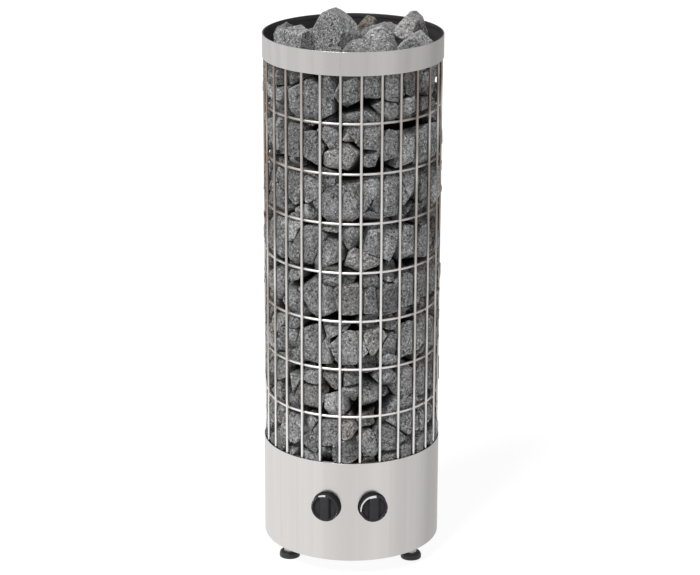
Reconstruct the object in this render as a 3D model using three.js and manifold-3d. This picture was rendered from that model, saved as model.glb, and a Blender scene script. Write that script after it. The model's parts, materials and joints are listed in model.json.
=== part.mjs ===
// Pillar sauna heater: a round steel casing on three levelling feet carries a welded wire cage of stones,
// three hairpin heating elements stand in the middle of them, and two knobs set a timer and a thermostat.
// Millimetres, +Z up, front towards -Y, the origin on the floor under the middle of the heater.
import * as THREE from "three";
import { ConvexHull } from "three/addons/math/ConvexHull.js";
import { ConvexGeometry } from "three/addons/geometries/ConvexGeometry.js";
import { mergeVertices } from "three/addons/utils/BufferGeometryUtils.js";
import ManifoldModule from "manifold-3d";

const wasm = await ManifoldModule();
wasm.setup();

// Overall sizes
const BODY_RADIUS = 154;
const GROUND_CLEARANCE = 32;
const CASING_HEIGHT = 181;
const CAGE_HEIGHT = 681.5;
const BAND_HEIGHT = 40;
const HEM_DEPTH = 6.7;
const HEM_SETBACK = 1.4;
const SHEET = 1;
const PLATE = 1.5;
const GAP = 0.3;
const OVERRUN = 2;
const ROUND_SIDES = 40;

// Wire cage
const WIRE = 4.6;
const UPRIGHT_COUNT = 27;
const RING_COUNT = 7;
const CAGE_TUCK = 3;
const WELD_SINK = 1;
const WIRE_SIDES = 6;

// Levelling feet
const FOOT_COUNT = 3;
const FOOT_INSET = 30;
const FOOT_FIRST_ANGLE = 60;
const PAD_RADIUS = 18.2;
const PAD_HEIGHT = 11;
const PAD_WALL = 4.4;
const PAD_EDGE = 1.2;
const PAD_CUP = 4;
const PAD_LIP = 3.3;
const COLLAR_RADIUS = 9.8;
const COLLAR_RISE = 2.5;
const STEM_RADIUS = 5;
const STEM_SPARE = 6;
const NUT_RADIUS = 9.8;
const NUT_HEIGHT = 8;

// Plates inside the casing
const BASE_RECESS = 4;
const FLANGE_HEIGHT = 14;
const FLOOR_RECESS = 11;
const SHIELD_DROP = 24;
const SHIELD_RADIUS = 128;
const ELEMENT_PLATE_RADIUS = 54;
const ELEMENT_PLATE_THICKNESS = 3;
const SCREW_RADIUS = 2;
const SCREW_REACH = 8;
const SCREW_HEAD = { radius: 4, crown: 3.2, height: 2.2 };
const SCREW_ANGLES = [100, 180, 260];

// Heating elements
const ELEMENT_COUNT = 3;
const ELEMENT_CIRCLE = 36;
const ELEMENT_RADIUS = 4;
const ELEMENT_AIR = 3;
const ELEMENT_TAIL = 26;
const ELEMENT_PIN = { radius: 2, length: 12, sink: 2 };
const ELEMENT_COLLAR = { width: 3, height: 3 };
const ELEMENT_HEADROOM = 26;
const BEND_STEPS = 8;

// Controls
const CONTROL_ANGLE = 14.8;
const CONTROL_HEIGHT = 101.5;
const CONTROL_HOLE_RADIUS = 25.6;
const KNOB_CLEARANCE = 1.1;
const KNOB_DEPTH = 17;
const KNOB_SKIRT = 12.5;
const KNOB_REACH_IN = 5;
const KNOB_CHAMFER = 3;
const KNOB_EDGE = 1;
const KNOB_SOCKET = 2;
const GRIP = { width: 19, shoulder: 14, crest: 10.6, rounding: 1.5, sink: 2 };
const GRIP_END = { overhang: 2, draft: 0.5, rounding: 2 };
const SHAFT_RADIUS = 3;
const SHAFT_SOCKET = 8;
const SHAFT_CLEARANCE = 2;
const BRACKET_SETBACK = 42;
const BRACKET_HALF_WIDTH = 24;
const BRACKET_FOOT = 13.5;
const BRACKET_MARGIN = 4;
const CONTROL_BODY = { width: 36, height: 46, depth: 32 };
const THERMOSTAT_HEIGHT = 36;
const BULB_RADIUS = 3;
const BULB_LENGTH = 72;
const BULB_PLACE = { inset: 43.5, front: 10 };
const TUBE_RADIUS = 1.2;
const TUBE_TUCK = 2;

// Overheat cut-out, terminals and cable entry; places are measured in from the casing wall
const CUTOUT_PLACE = { across: -72, inset: 136 };
const CUTOUT_RADIUS = 12;
const CUTOUT_FLANGE = { overhang: 4, thickness: 2 };
const BUTTON_RADIUS = 3.5;
const BUTTON_PROUD = 3;
const BUTTON_TRAVEL = 2;
const BUTTON_WELL = 12;
const CUTOUT_HEAD = 12;
const TERMINAL_PLACE = { across: 0, inset: 92 };
const TERMINAL = { length: 70, depth: 26, height: 24, ribs: 6, ribWidth: 3.5, clampHeight: 13.2 };
const GLAND_PLACE = { across: 62, inset: 72 };
const GLAND_RADIUS = 10;
const GLAND_BORE = 6.4;
const GLAND_HEX = 15;
const GLAND_COLLAR = 5;
const GLAND_SPARE = 4;
const LOCK_NUT_HEIGHT = 6;
const GLAND_CAP_LENGTH = 13;
const GLAND_CAP_RADIUS = 14;

// Stones
const STONE_SEED = 41;
const STONE_ROWS = 12;
const ROWS_PER_TIER = 2;
const STONES_PER_ROW = 13;
const STONE_LAYER = 46;
const STONE_BITE = 8;
const STONE_FACETS = 5;
const STONE_CORNERS = 12;
const STONE_HEADROOM = 8;
const STONE_TILT = 0.15;
const STONE_SHARE = [0.26, 0.74];
const STONE_BOX = 1.5;
const NEIGHBOUR_ROWS = 2.4;
const FACET_REACH = [0.86, 1.06];
const CAGE_FACES = 5;
const CAGE_FACE_STEP = 8;
const TIER_SLOPE = 0.7;
const TURN_PLAY = 0.22;
const LEVEL_PLAY = 0.26;
const ROW_STONE = [0.4, 0.64];
const ROW_DEPTH = [0.44, 0.6];
const FRONT_DEPTH = [0.5, 0.58];
const CORE_SIDES = 13;
const FRONT_REACH = 66;
const FRONT_BASE = 202;
const FRONT_SPAN = 684;
const CROWN_FACETS = 18;
const CROWN_CORNERS = 26;
const CROWN_NUDGE = 0.35;
const CROWN_ROOT = 2.2;
// Each stone seen from the front, from the floor up: its turn in degrees, height and half size
const FRONT = [
  [14, 216, 12], [-43, 219, 12], [-28, 217, 12], [27, 217, 13], [42, 226, 15], [-14, 228, 13],
  [-58, 230, 19], [57, 230, 21], [-2, 231, 26], [14, 247, 25], [-28, 247, 20], [27, 256, 29],
  [-42, 263, 29], [-14, 269, 24], [-2, 273, 19], [-58, 274, 21], [-28, 280, 16], [57, 281, 26],
  [12, 283, 14], [41, 283, 37], [-44, 313, 18], [-11, 316, 24], [-58, 317, 21], [-28, 326, 28],
  [24, 335, 13], [14, 336, 21], [2, 339, 16], [-42, 341, 17], [56, 343, 33], [41, 354, 27],
  [27, 362, 20], [-58, 364, 22], [0, 364, 15], [-28, 366, 15], [-10, 366, 15], [13, 388, 12],
  [-43, 388, 13], [27, 393, 12], [57, 395, 14], [-58, 400, 16], [-17, 420, 18], [-44, 424, 19],
  [-28, 424, 31], [27, 425, 22], [0, 427, 35], [40, 428, 34], [13, 433, 30], [57, 434, 29],
  [-10, 444, 22], [-58, 448, 20], [-43, 455, 17], [27, 457, 14], [12, 462, 12], [41, 476, 13],
  [57, 478, 14], [-41, 489, 25], [0, 506, 28], [27, 507, 28], [12, 508, 21], [-24, 511, 36],
  [-58, 514, 34], [41, 514, 32], [57, 520, 29], [-13, 541, 14], [13, 541, 15], [-44, 542, 15],
  [-1, 545, 12], [27, 549, 13], [8, 571, 27], [-42, 576, 22], [-15, 590, 27], [56, 592, 29],
  [-58, 593, 32], [41, 596, 26], [-28, 599, 30], [20, 609, 35], [-43, 613, 22], [0, 614, 20],
  [-14, 633, 13], [57, 651, 18], [13, 652, 13], [-30, 653, 14], [41, 654, 16], [-58, 664, 26],
  [-5, 675, 41], [27, 684, 33], [55, 691, 21], [-41, 694, 31], [-28, 695, 21], [41, 697, 27],
  [15, 699, 17], [-58, 714, 18], [-14, 715, 14], [-44, 739, 13], [-6, 752, 30], [14, 756, 12],
  [42, 765, 31], [57, 766, 34], [-28, 770, 28], [26, 771, 27], [-58, 773, 27], [-41, 777, 29],
  [-14, 787, 23], [-1, 790, 16], [9, 801, 34], [-59, 822, 17], [56, 823, 14], [40, 831, 20],
  [26, 832, 18], [-30, 843, 43], [-60, 851, 17], [56, 860, 19], [0, 869, 25], [27, 869, 22],
  [14, 872, 22], [41, 872, 21], [-16, 878, 19], [-60, 876, 19], [-45, 878, 17],
];
// Each stone of the crown: its centre in x, y and height above the bed, then its half sizes
const CROWN = [
  [-116, 42, 32, 17, 27, 19],
  [-98, -30, 31, 27, 38, 28],
  [-34, 2, 39, 45, 48, 38],
  [24, 102, 32, 12, 22, 22],
  [50, 52, 20, 44, 42, 25],
  [26, -56, 19, 49, 46, 25],
  [98, 32, 44, 20, 30, 30],
  [106, -38, 28, 23, 38, 26],
  [-36, -98, 19, 26, 32, 22],
  [-50, 92, 15, 46, 42, 15],
  [54, -4, 12, 36, 34, 19],
];

// Levels and radii that follow from the sizes above
const casingBottom = GROUND_CLEARANCE;
const casingTop = casingBottom + CASING_HEIGHT;
const bandBottom = casingTop + CAGE_HEIGHT;
const bandTop = bandBottom + BAND_HEIGHT;
const shellInner = BODY_RADIUS - SHEET;
const plateRadius = shellInner * Math.cos(Math.PI / ROUND_SIDES) - GAP;
const footCircle = BODY_RADIUS - FOOT_INSET;
const [cutoutPlace, terminalPlace, glandPlace] = [CUTOUT_PLACE, TERMINAL_PLACE, GLAND_PLACE]
  .map(({ across, inset }) => [across, BODY_RADIUS - inset]);
const bracketDistance = BODY_RADIUS - BRACKET_SETBACK;
const baseBottom = casingBottom + BASE_RECESS;
const baseTop = baseBottom + PLATE;
const floorTop = casingTop - FLOOR_RECESS;
const floorBottom = floorTop - PLATE;
const shieldBottom = floorTop - SHIELD_DROP;
const shieldTop = shieldBottom + PLATE;
const elementPlateTop = shieldBottom - GAP;
const elementPlateBottom = elementPlateTop - ELEMENT_PLATE_THICKNESS;
const uprightRadius = plateRadius - WIRE / 2;
const ringRadius = uprightRadius - WIRE - GAP;
const stoneLimit = ringRadius - WIRE / 2 - GAP;
const coreRadius = stoneLimit - STONE_LAYER;
const shaftWellRadius = ELEMENT_CIRCLE + ELEMENT_RADIUS + ELEMENT_AIR;
const bedBottom = floorTop + GAP;
const bedTop = bandBottom - STONE_HEADROOM;
const rowHeight = (bedTop - bedBottom) / STONE_ROWS;
const controlLevel = casingBottom + CONTROL_HEIGHT;
const knobRadius = CONTROL_HOLE_RADIUS - KNOB_CLEARANCE;
const elementTop = bedTop - ELEMENT_HEADROOM;

// Materials
function material(color, roughness, metalness) {
  return new THREE.MeshStandardMaterial({ color, roughness, metalness });
}
const brushedSteel = () => material(0xc9c6c2, 0.38, 1);
const wireSteel = () => material(0xbdb8b2, 0.35, 1);
const zincSteel = () => material(0xb4b6b6, 0.45, 1);
const blackPlastic = () => material(0x1b1b1d, 0.5, 0);
const paleCeramic = () => material(0xe4e0d6, 0.6, 0);
const elementAlloy = () => material(0x55524e, 0.6, 1);
const brassMetal = () => material(0xb9975a, 0.4, 1);
const redPlastic = () => material(0xb02a22, 0.45, 0);
const greyStone = () => material(0x77777a, 0.9, 0);

// Solid helpers
function closed(geometry) {
  const bare = geometry.clone();
  bare.deleteAttribute("normal");
  bare.deleteAttribute("uv");
  const merged = mergeVertices(bare, 1e-3);
  const place = merged.getAttribute("position");
  const corners = [0, 1, 2].map(() => new THREE.Vector3());
  const kept = [];
  let volume = 0;
  for (let i = 0; i < merged.index.count; i += 3) {
    const triangle = [0, 1, 2].map((k) => merged.index.getX(i + k));
    if (new Set(triangle).size === 3) {
      kept.push(triangle);
      triangle.forEach((v, k) => corners[k].fromBufferAttribute(place, v));
      volume += corners[0].dot(corners[1].cross(corners[2]));
    }
  }
  merged.setIndex(kept.flatMap(([a, b, c]) => (volume < 0 ? [a, c, b] : [a, b, c])));
  return merged;
}

function toSolid(geometry) {
  const bare = closed(geometry);
  return new wasm.Manifold(new wasm.Mesh({
    numProp: 3,
    vertProperties: new Float32Array(bare.getAttribute("position").array),
    triVerts: new Uint32Array(bare.index.array),
  }));
}

function toGeometry(solid) {
  const mesh = solid.getMesh();
  const geometry = new THREE.BufferGeometry();
  geometry.setAttribute("position", new THREE.BufferAttribute(new Float32Array(mesh.vertProperties), 3));
  geometry.setIndex(Array.from(mesh.triVerts));
  return geometry;
}

function cut(geometry, tools) {
  return toGeometry(tools.reduce((solid, tool) => solid.subtract(toSolid(tool)), toSolid(geometry)));
}

function join(geometries) {
  const [first, ...rest] = geometries.map(toSolid);
  return toGeometry(rest.reduce((solid, other) => solid.add(other), first));
}

// A turned solid about Z from [radius, height] pairs; a profile clear of the axis closes on itself.
function turned(profile, sides = ROUND_SIDES) {
  const points = profile.map(([r, z]) => new THREE.Vector2(r, z));
  if (profile[0][0] > 0) {
    points.push(points[0].clone());
  }
  return new THREE.LatheGeometry(points, sides).rotateX(Math.PI / 2);
}

// An upright round bar from one level to another.
function bar(radius, bottom, top, sides = 16) {
  const length = top - bottom;
  return new THREE.CylinderGeometry(radius, radius, length, sides)
    .rotateX(Math.PI / 2)
    .translate(0, 0, bottom + length / 2);
}

// A bar lying along Y, for holes and shafts that point at the front.
function frontBar(radius, from, to, level, sides = 24) {
  const length = Math.abs(to - from);
  return new THREE.CylinderGeometry(radius, radius, length, sides)
    .translate(0, (from + to) / 2, 0)
    .translate(0, 0, level);
}

function hexNut(radius, bore, bottom, top) {
  return cut(bar(radius, bottom, top, 6), [bar(bore, bottom - OVERRUN, top + OVERRUN, 20)]);
}

const radians = THREE.MathUtils.degToRad;
const heater = new THREE.Group();
heater.name = "sauna_heater";

function add(parent, name, geometry, look) {
  const mesh = new THREE.Mesh(closed(geometry), look);
  mesh.name = name;
  mesh.geometry.computeVertexNormals();
  parent.add(mesh);
  return mesh;
}

// A group whose own -Y points away from the axis at an angle counted from the front.
function facing(angle) {
  const group = new THREE.Group();
  group.rotation.z = radians(angle);
  heater.add(group);
  return group;
}

// Places of the element legs, in pairs around the axis
const legPlaces = [];
for (let i = 0; i < ELEMENT_COUNT; i += 1) {
  for (const side of [-1, 1]) {
    const angle = ((i + side / 4) * 2 * Math.PI) / ELEMENT_COUNT;
    legPlaces.push(new THREE.Vector2(Math.sin(angle), -Math.cos(angle)).multiplyScalar(ELEMENT_CIRCLE));
  }
}
function legHoles(clearance, bottom, top) {
  return legPlaces.map((p) => bar(ELEMENT_RADIUS + clearance, bottom, top, 8).translate(p.x, p.y, 0));
}

// Casing, base plate and the screws between them
const screwLevel = baseTop + FLANGE_HEIGHT / 2;
const screwHoles = SCREW_ANGLES.map((angle) =>
  frontBar(SCREW_RADIUS + GAP, SCREW_REACH - plateRadius, -BODY_RADIUS - OVERRUN, screwLevel, 8)
    .rotateZ(radians(angle)));
const controlHoles = [-CONTROL_ANGLE, CONTROL_ANGLE].map((angle) =>
  frontBar(CONTROL_HOLE_RADIUS, CONTROL_HOLE_RADIUS - shellInner, -BODY_RADIUS - OVERRUN, controlLevel, 28)
    .rotateZ(radians(angle)));
const casingTube = turned([
  [shellInner, casingBottom],
  [BODY_RADIUS, casingBottom],
  [BODY_RADIUS, casingTop],
  [shellInner, casingTop],
]);
add(heater, "lower_casing", cut(casingTube, [...controlHoles, ...screwHoles]), brushedSteel());

const footPlaces = [];
for (let i = 0; i < FOOT_COUNT; i += 1) {
  const angle = radians(FOOT_FIRST_ANGLE + (i * 360) / FOOT_COUNT);
  footPlaces.push(new THREE.Vector2(Math.sin(angle), -Math.cos(angle)).multiplyScalar(footCircle));
}
const basePan = turned([
  [0, baseBottom],
  [plateRadius, baseBottom],
  [plateRadius, baseTop + FLANGE_HEIGHT],
  [plateRadius - PLATE, baseTop + FLANGE_HEIGHT],
  [plateRadius - PLATE, baseTop],
  [0, baseTop],
]);
function baseHole(radius, [x, y]) {
  return bar(radius, baseBottom - OVERRUN, baseTop + OVERRUN, 16).translate(x, y, 0);
}
const baseHoles = [
  ...footPlaces.map((p) => baseHole(STEM_RADIUS + GAP, [p.x, p.y])),
  baseHole(GLAND_RADIUS + GAP, glandPlace),
  baseHole(BUTTON_RADIUS + 2 * GAP, cutoutPlace),
  ...screwHoles,
];
add(heater, "base_plate", cut(basePan, baseHoles), zincSteel());

SCREW_ANGLES.forEach((angle, i) => {
  const head = BODY_RADIUS + GAP;
  const screw = turned([
    [0, plateRadius - SCREW_REACH],
    [SCREW_RADIUS, plateRadius - SCREW_REACH],
    [SCREW_RADIUS, head],
    [SCREW_HEAD.radius, head],
    [SCREW_HEAD.crown, head + SCREW_HEAD.height],
    [0, head + SCREW_HEAD.height],
  ], 8).rotateX(Math.PI / 2).translate(0, 0, screwLevel);
  add(facing(angle), `casing_screw_${i + 1}`, screw, zincSteel());
});

// Feet: a pad and a stem that turn in a nut welded on the base plate
footPlaces.forEach((p, i) => {
  const foot = new THREE.Group();
  foot.position.set(p.x, p.y, 0);
  heater.add(foot);
  const cup = PAD_HEIGHT - PAD_CUP;
  const collarTop = PAD_HEIGHT + COLLAR_RISE;
  const stemTop = baseTop + NUT_HEIGHT + STEM_SPARE;
  const pad = turned([
    [0, 0],
    [PAD_RADIUS - PAD_EDGE, 0],
    [PAD_RADIUS, PAD_EDGE],
    [PAD_RADIUS, PAD_WALL],
    [COLLAR_RADIUS + GAP + PAD_LIP, PAD_HEIGHT],
    [COLLAR_RADIUS + GAP, PAD_HEIGHT],
    [COLLAR_RADIUS + GAP, cup],
    [0, cup],
  ], 20);
  const stem = turned([
    [0, cup + GAP],
    [COLLAR_RADIUS, cup + GAP],
    [COLLAR_RADIUS, collarTop],
    [STEM_RADIUS, collarTop],
    [STEM_RADIUS, stemTop],
    [0, stemTop],
  ], 12);
  add(foot, `foot_pad_${i + 1}`, pad, blackPlastic());
  add(foot, `foot_stem_${i + 1}`, stem, zincSteel());
  const nut = hexNut(NUT_RADIUS, STEM_RADIUS + GAP, baseTop + GAP, baseTop + NUT_HEIGHT);
  add(foot, `foot_nut_${i + 1}`, nut, zincSteel());
});

// Stone floor, heat shield and the plate that holds the elements
const floorPan = turned([
  [0, floorTop],
  [plateRadius, floorTop],
  [plateRadius, floorTop - FLANGE_HEIGHT],
  [plateRadius - PLATE, floorTop - FLANGE_HEIGHT],
  [plateRadius - PLATE, floorBottom],
  [0, floorBottom],
]);
const floorHoles = legHoles(GAP, floorBottom - OVERRUN, floorTop + OVERRUN);
add(heater, "stone_floor", cut(floorPan, floorHoles), zincSteel());

const shieldPan = turned([
  [0, shieldBottom],
  [SHIELD_RADIUS, shieldBottom],
  [SHIELD_RADIUS, floorBottom - GAP],
  [SHIELD_RADIUS - PLATE, floorBottom - GAP],
  [SHIELD_RADIUS - PLATE, shieldTop],
  [0, shieldTop],
], 30);
const shieldHoles = legHoles(GAP, shieldBottom - OVERRUN, shieldTop + OVERRUN);
add(heater, "heat_shield", cut(shieldPan, shieldHoles), zincSteel());

const elementPlate = bar(ELEMENT_PLATE_RADIUS, elementPlateBottom, elementPlateTop, 20);
const plateHoles = legHoles(GAP, elementPlateBottom - OVERRUN, elementPlateTop + OVERRUN);
add(heater, "element_plate", cut(elementPlate, plateHoles), zincSteel());

// A hairpin: one step up the first leg, the bend in even steps, one step down the second leg.
class HairpinPath extends THREE.Curve {
  constructor(halfWidth, bottom, top) {
    super();
    Object.assign(this, { halfWidth, bottom, bendLevel: top - halfWidth });
  }
  getUtoTmapping(u) {
    return u;
  }
  getPoint(t) {
    const step = t * (BEND_STEPS + 2);
    const turn = (Math.PI * THREE.MathUtils.clamp(step - 1, 0, BEND_STEPS)) / BEND_STEPS;
    const drop = Math.max(1 - step, step - BEND_STEPS - 1, 0) * (this.bendLevel - this.bottom);
    const rise = Math.sin(turn) * this.halfWidth - drop;
    return new THREE.Vector3(-Math.cos(turn) * this.halfWidth, 0, this.bendLevel + rise);
  }
}

function circleShape(radius, sides) {
  const corners = [];
  for (let i = 0; i < sides; i += 1) {
    const angle = (i * 2 * Math.PI) / sides;
    corners.push(new THREE.Vector2(Math.cos(angle), Math.sin(angle)).multiplyScalar(radius));
  }
  return new THREE.Shape(corners);
}

const tailBottom = elementPlateBottom - ELEMENT_TAIL;
const collarBottom = shieldTop + GAP;
for (let i = 0; i < ELEMENT_COUNT; i += 1) {
  const [a, b] = legPlaces.slice(2 * i, 2 * i + 2);
  const half = a.distanceTo(b) / 2;
  const hairpin = new THREE.ExtrudeGeometry(circleShape(ELEMENT_RADIUS, 8), {
    steps: BEND_STEPS + 2,
    bevelEnabled: false,
    extrudePath: new HairpinPath(half, tailBottom, elementTop),
  });
  const fittings = [-half, half].flatMap((x) => [
    bar(ELEMENT_RADIUS + ELEMENT_COLLAR.width, collarBottom, collarBottom + ELEMENT_COLLAR.height, 8)
      .translate(x, 0, 0),
    bar(ELEMENT_PIN.radius, tailBottom - ELEMENT_PIN.length, tailBottom + ELEMENT_PIN.sink, 6)
      .translate(x, 0, 0),
  ]);
  const group = new THREE.Group();
  group.position.set((a.x + b.x) / 2, (a.y + b.y) / 2, 0);
  group.rotation.z = Math.atan2(b.y - a.y, b.x - a.x);
  heater.add(group);
  add(group, `heating_element_${i + 1}`, join([hairpin, ...fittings]), elementAlloy());
}

// Wire cage: uprights welded to an end ring at each end, and the rings between them
const lowRingLevel = casingTop - CAGE_TUCK;
const highRingLevel = bandBottom + CAGE_TUCK;
const ringStretch = 1 / Math.cos(Math.PI / UPRIGHT_COUNT);
function wireRing(radius, level, sides) {
  return new THREE.TorusGeometry(radius * ringStretch, WIRE / 2, sides, UPRIGHT_COUNT)
    .rotateZ(-Math.PI / 2)
    .translate(0, 0, level);
}
const cageWires = [];
for (let i = 0; i < UPRIGHT_COUNT; i += 1) {
  const angle = ((i + 0.5) * 2 * Math.PI) / UPRIGHT_COUNT;
  const upright = bar(WIRE / 2, floorTop + GAP, highRingLevel + WIRE, WIRE_SIDES);
  cageWires.push(upright.translate(0, -uprightRadius, 0).rotateZ(angle));
}
const endRings = [lowRingLevel, highRingLevel].map((z) => wireRing(uprightRadius - WIRE + WELD_SINK, z, 4));
add(heater, "cage_uprights", join([...cageWires, ...endRings]), wireSteel());
for (let i = 1; i <= RING_COUNT; i += 1) {
  const level = THREE.MathUtils.lerp(lowRingLevel, highRingLevel, i / (RING_COUNT + 1));
  add(heater, `cage_ring_${i}`, wireRing(ringRadius, level, WIRE_SIDES), wireSteel());
}

// Top band with a folded edge
const hemInner = shellInner - HEM_SETBACK;
const band = turned([
  [shellInner, bandBottom],
  [BODY_RADIUS, bandBottom],
  [BODY_RADIUS, bandTop],
  [hemInner, bandTop],
  [hemInner, bandTop - HEM_DEPTH],
  [shellInner, bandTop - HEM_DEPTH],
]);
add(heater, "top_band", band, brushedSteel());

// Bracket for the two controls: a strip bent square to each shaft, with a foot along the base plate
function bracketCorners(inset) {
  const distance = bracketDistance - inset;
  const right = [-1, 1].map((side) => new THREE.Vector2(side * BRACKET_HALF_WIDTH, -distance)
    .rotateAround(new THREE.Vector2(), radians(CONTROL_ANGLE)));
  const left = right.map((p) => new THREE.Vector2(-p.x, p.y)).reverse();
  return [...left, ...right];
}
function bracketStrip(thickness, bottom, top) {
  const outline = new THREE.Shape([...bracketCorners(0), ...bracketCorners(thickness).reverse()]);
  return new THREE.ExtrudeGeometry(outline, { depth: top - bottom, bevelEnabled: false })
    .translate(0, 0, bottom);
}
const bracketTop = controlLevel + CONTROL_BODY.height / 2 + BRACKET_MARGIN;
const bracketWall = bracketStrip(PLATE, baseTop + GAP, bracketTop);
const bracketFoot = bracketStrip(BRACKET_FOOT, baseTop + GAP, baseTop + GAP + PLATE);
const shaftHoles = [-CONTROL_ANGLE, CONTROL_ANGLE].map((angle) =>
  frontBar(SHAFT_RADIUS + SHAFT_CLEARANCE, PLATE + OVERRUN - bracketDistance, -bracketDistance - OVERRUN,
    controlLevel, 16).rotateZ(radians(angle)));
add(heater, "control_bracket", cut(join([bracketWall, bracketFoot]), shaftHoles), zincSteel());

// One control: its body behind the bracket, its shaft, and the knob in the casing hole
function knobShape() {
  const skirtEdge = knobRadius - KNOB_CHAMFER;
  const skirt = turned([
    [0, KNOB_SOCKET],
    [SHAFT_RADIUS + GAP, KNOB_SOCKET],
    [SHAFT_RADIUS + GAP, -KNOB_REACH_IN],
    [knobRadius - KNOB_EDGE, -KNOB_REACH_IN],
    [knobRadius, KNOB_EDGE - KNOB_REACH_IN],
    [knobRadius, KNOB_SKIRT - KNOB_CHAMFER],
    [skirtEdge, KNOB_SKIRT],
    [0, KNOB_SKIRT],
  ], 28);
  const side = [
    [GRIP.width / 2, KNOB_SKIRT - GRIP.sink],
    [GRIP.shoulder / 2, KNOB_DEPTH - GRIP.rounding],
    [GRIP.crest / 2, KNOB_DEPTH],
  ];
  const section = new THREE.Shape([
    ...side.map(([x, z]) => new THREE.Vector2(x, z)),
    ...side.reverse().map(([x, z]) => new THREE.Vector2(-x, z)),
  ]);
  const ridge = new THREE.ExtrudeGeometry(section, { depth: 2 * knobRadius, bevelEnabled: false })
    .translate(0, 0, -knobRadius)
    .rotateX(Math.PI / 2);
  const outline = turned([
    [0, 0],
    [skirtEdge + GRIP_END.overhang, 0],
    [skirtEdge + GRIP_END.overhang - GRIP_END.draft, KNOB_DEPTH - GRIP_END.rounding],
    [skirtEdge, KNOB_DEPTH],
    [0, KNOB_DEPTH],
  ], 28);
  const grip = toSolid(ridge).intersect(toSolid(outline));
  return toGeometry(toSolid(skirt).add(grip));
}

function control(name, angle, bodyHeight) {
  const group = facing(angle);
  const bodyFront = -bracketDistance + PLATE + GAP;
  const shaftBack = bodyFront + SHAFT_SOCKET;
  const box = new THREE.BoxGeometry(CONTROL_BODY.width, CONTROL_BODY.depth, bodyHeight)
    .translate(0, bodyFront + CONTROL_BODY.depth / 2, controlLevel);
  const socket = frontBar(SHAFT_RADIUS + GAP, shaftBack, bodyFront - OVERRUN, controlLevel, 16);
  add(group, `${name}_body`, cut(box, [socket]), paleCeramic());
  const shaftFront = -BODY_RADIUS - KNOB_SOCKET + GAP;
  const shaft = frontBar(SHAFT_RADIUS, shaftBack - GAP, shaftFront, controlLevel, 12);
  add(group, `${name}_shaft`, shaft, brassMetal());
  const knob = knobShape().rotateX(Math.PI / 2).translate(0, -BODY_RADIUS, controlLevel);
  add(group, `${name}_knob`, knob, blackPlastic());
}
control("timer", -CONTROL_ANGLE, CONTROL_BODY.height);
control("thermostat", CONTROL_ANGLE, THERMOSTAT_HEIGHT);

// Sensor of the thermostat: a bulb under the heat shield on a thin tube
const bulbLevel = shieldBottom - GAP - BULB_RADIUS;
const bulbPlace = new THREE.Vector3(SHIELD_RADIUS - BULB_PLACE.inset, -BULB_PLACE.front, bulbLevel);
const thermostatBack = -bracketDistance + PLATE + CONTROL_BODY.depth + GAP;
const tubeStart = new THREE.Vector3(0, thermostatBack + 1.5 * GAP, controlLevel)
  .applyAxisAngle(new THREE.Vector3(0, 0, 1), radians(CONTROL_ANGLE));
const tubeRun = new THREE.CatmullRomCurve3([
  tubeStart,
  tubeStart.clone().multiply(new THREE.Vector3(0.85, 0.85, 1)),
  new THREE.Vector3(bulbPlace.x * 0.6, bulbPlace.y * 4.6, (bulbLevel + controlLevel) / 2),
  new THREE.Vector3(bulbPlace.x, bulbPlace.y * 3.4, bulbLevel),
  bulbPlace,
]);
const tube = new THREE.ExtrudeGeometry(circleShape(TUBE_RADIUS, 6), {
  steps: 14,
  bevelEnabled: false,
  extrudePath: tubeRun,
});
const bulbFront = bulbPlace.y - TUBE_TUCK;
const bulb = frontBar(BULB_RADIUS, bulbFront, bulbFront + BULB_LENGTH, bulbLevel, 12)
  .translate(bulbPlace.x, 0, 0);
add(heater, "thermostat_sensor", join([tube, bulb]), brassMetal());

// Overheat cut-out with its reset button, reached from under the base plate
const cutout = new THREE.Group();
cutout.position.set(...cutoutPlace, 0);
heater.add(cutout);
const wellTop = baseTop + BUTTON_WELL + BUTTON_TRAVEL;
const flangeRadius = CUTOUT_RADIUS + CUTOUT_FLANGE.overhang;
const flangeTop = baseTop + GAP + CUTOUT_FLANGE.thickness;
const cutoutBody = turned([
  [0, wellTop],
  [BUTTON_RADIUS + GAP, wellTop],
  [BUTTON_RADIUS + GAP, baseTop + GAP],
  [flangeRadius, baseTop + GAP],
  [flangeRadius, flangeTop],
  [CUTOUT_RADIUS, flangeTop],
  [CUTOUT_RADIUS, wellTop + CUTOUT_HEAD],
  [0, wellTop + CUTOUT_HEAD],
], 20);
add(cutout, "overheat_cutout", cutoutBody, blackPlastic());
const button = bar(BUTTON_RADIUS, baseBottom - BUTTON_PROUD, wellTop - BUTTON_TRAVEL - 2 * GAP, 16);
add(cutout, "reset_button", button, redPlastic());

// Terminal block: a base with ribs between the clamps
const ribPitch = TERMINAL.length / TERMINAL.ribs;
const combCorners = [new THREE.Vector2(0, 0), new THREE.Vector2(TERMINAL.length, 0)];
for (let i = TERMINAL.ribs; i > 0; i -= 1) {
  const far = i * ribPitch;
  const near = far - TERMINAL.ribWidth;
  const low = TERMINAL.clampHeight;
  combCorners.push(new THREE.Vector2(far, TERMINAL.height), new THREE.Vector2(near, TERMINAL.height));
  combCorners.push(new THREE.Vector2(near, low), new THREE.Vector2(far - ribPitch, low));
}
const terminals = new THREE.ExtrudeGeometry(new THREE.Shape(combCorners), {
  depth: TERMINAL.depth,
  bevelEnabled: false,
}).translate(-TERMINAL.length / 2, 0, -TERMINAL.depth / 2).rotateX(Math.PI / 2);
terminals.translate(...terminalPlace, baseTop + GAP);
add(heater, "terminal_block", terminals, paleCeramic());

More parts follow.
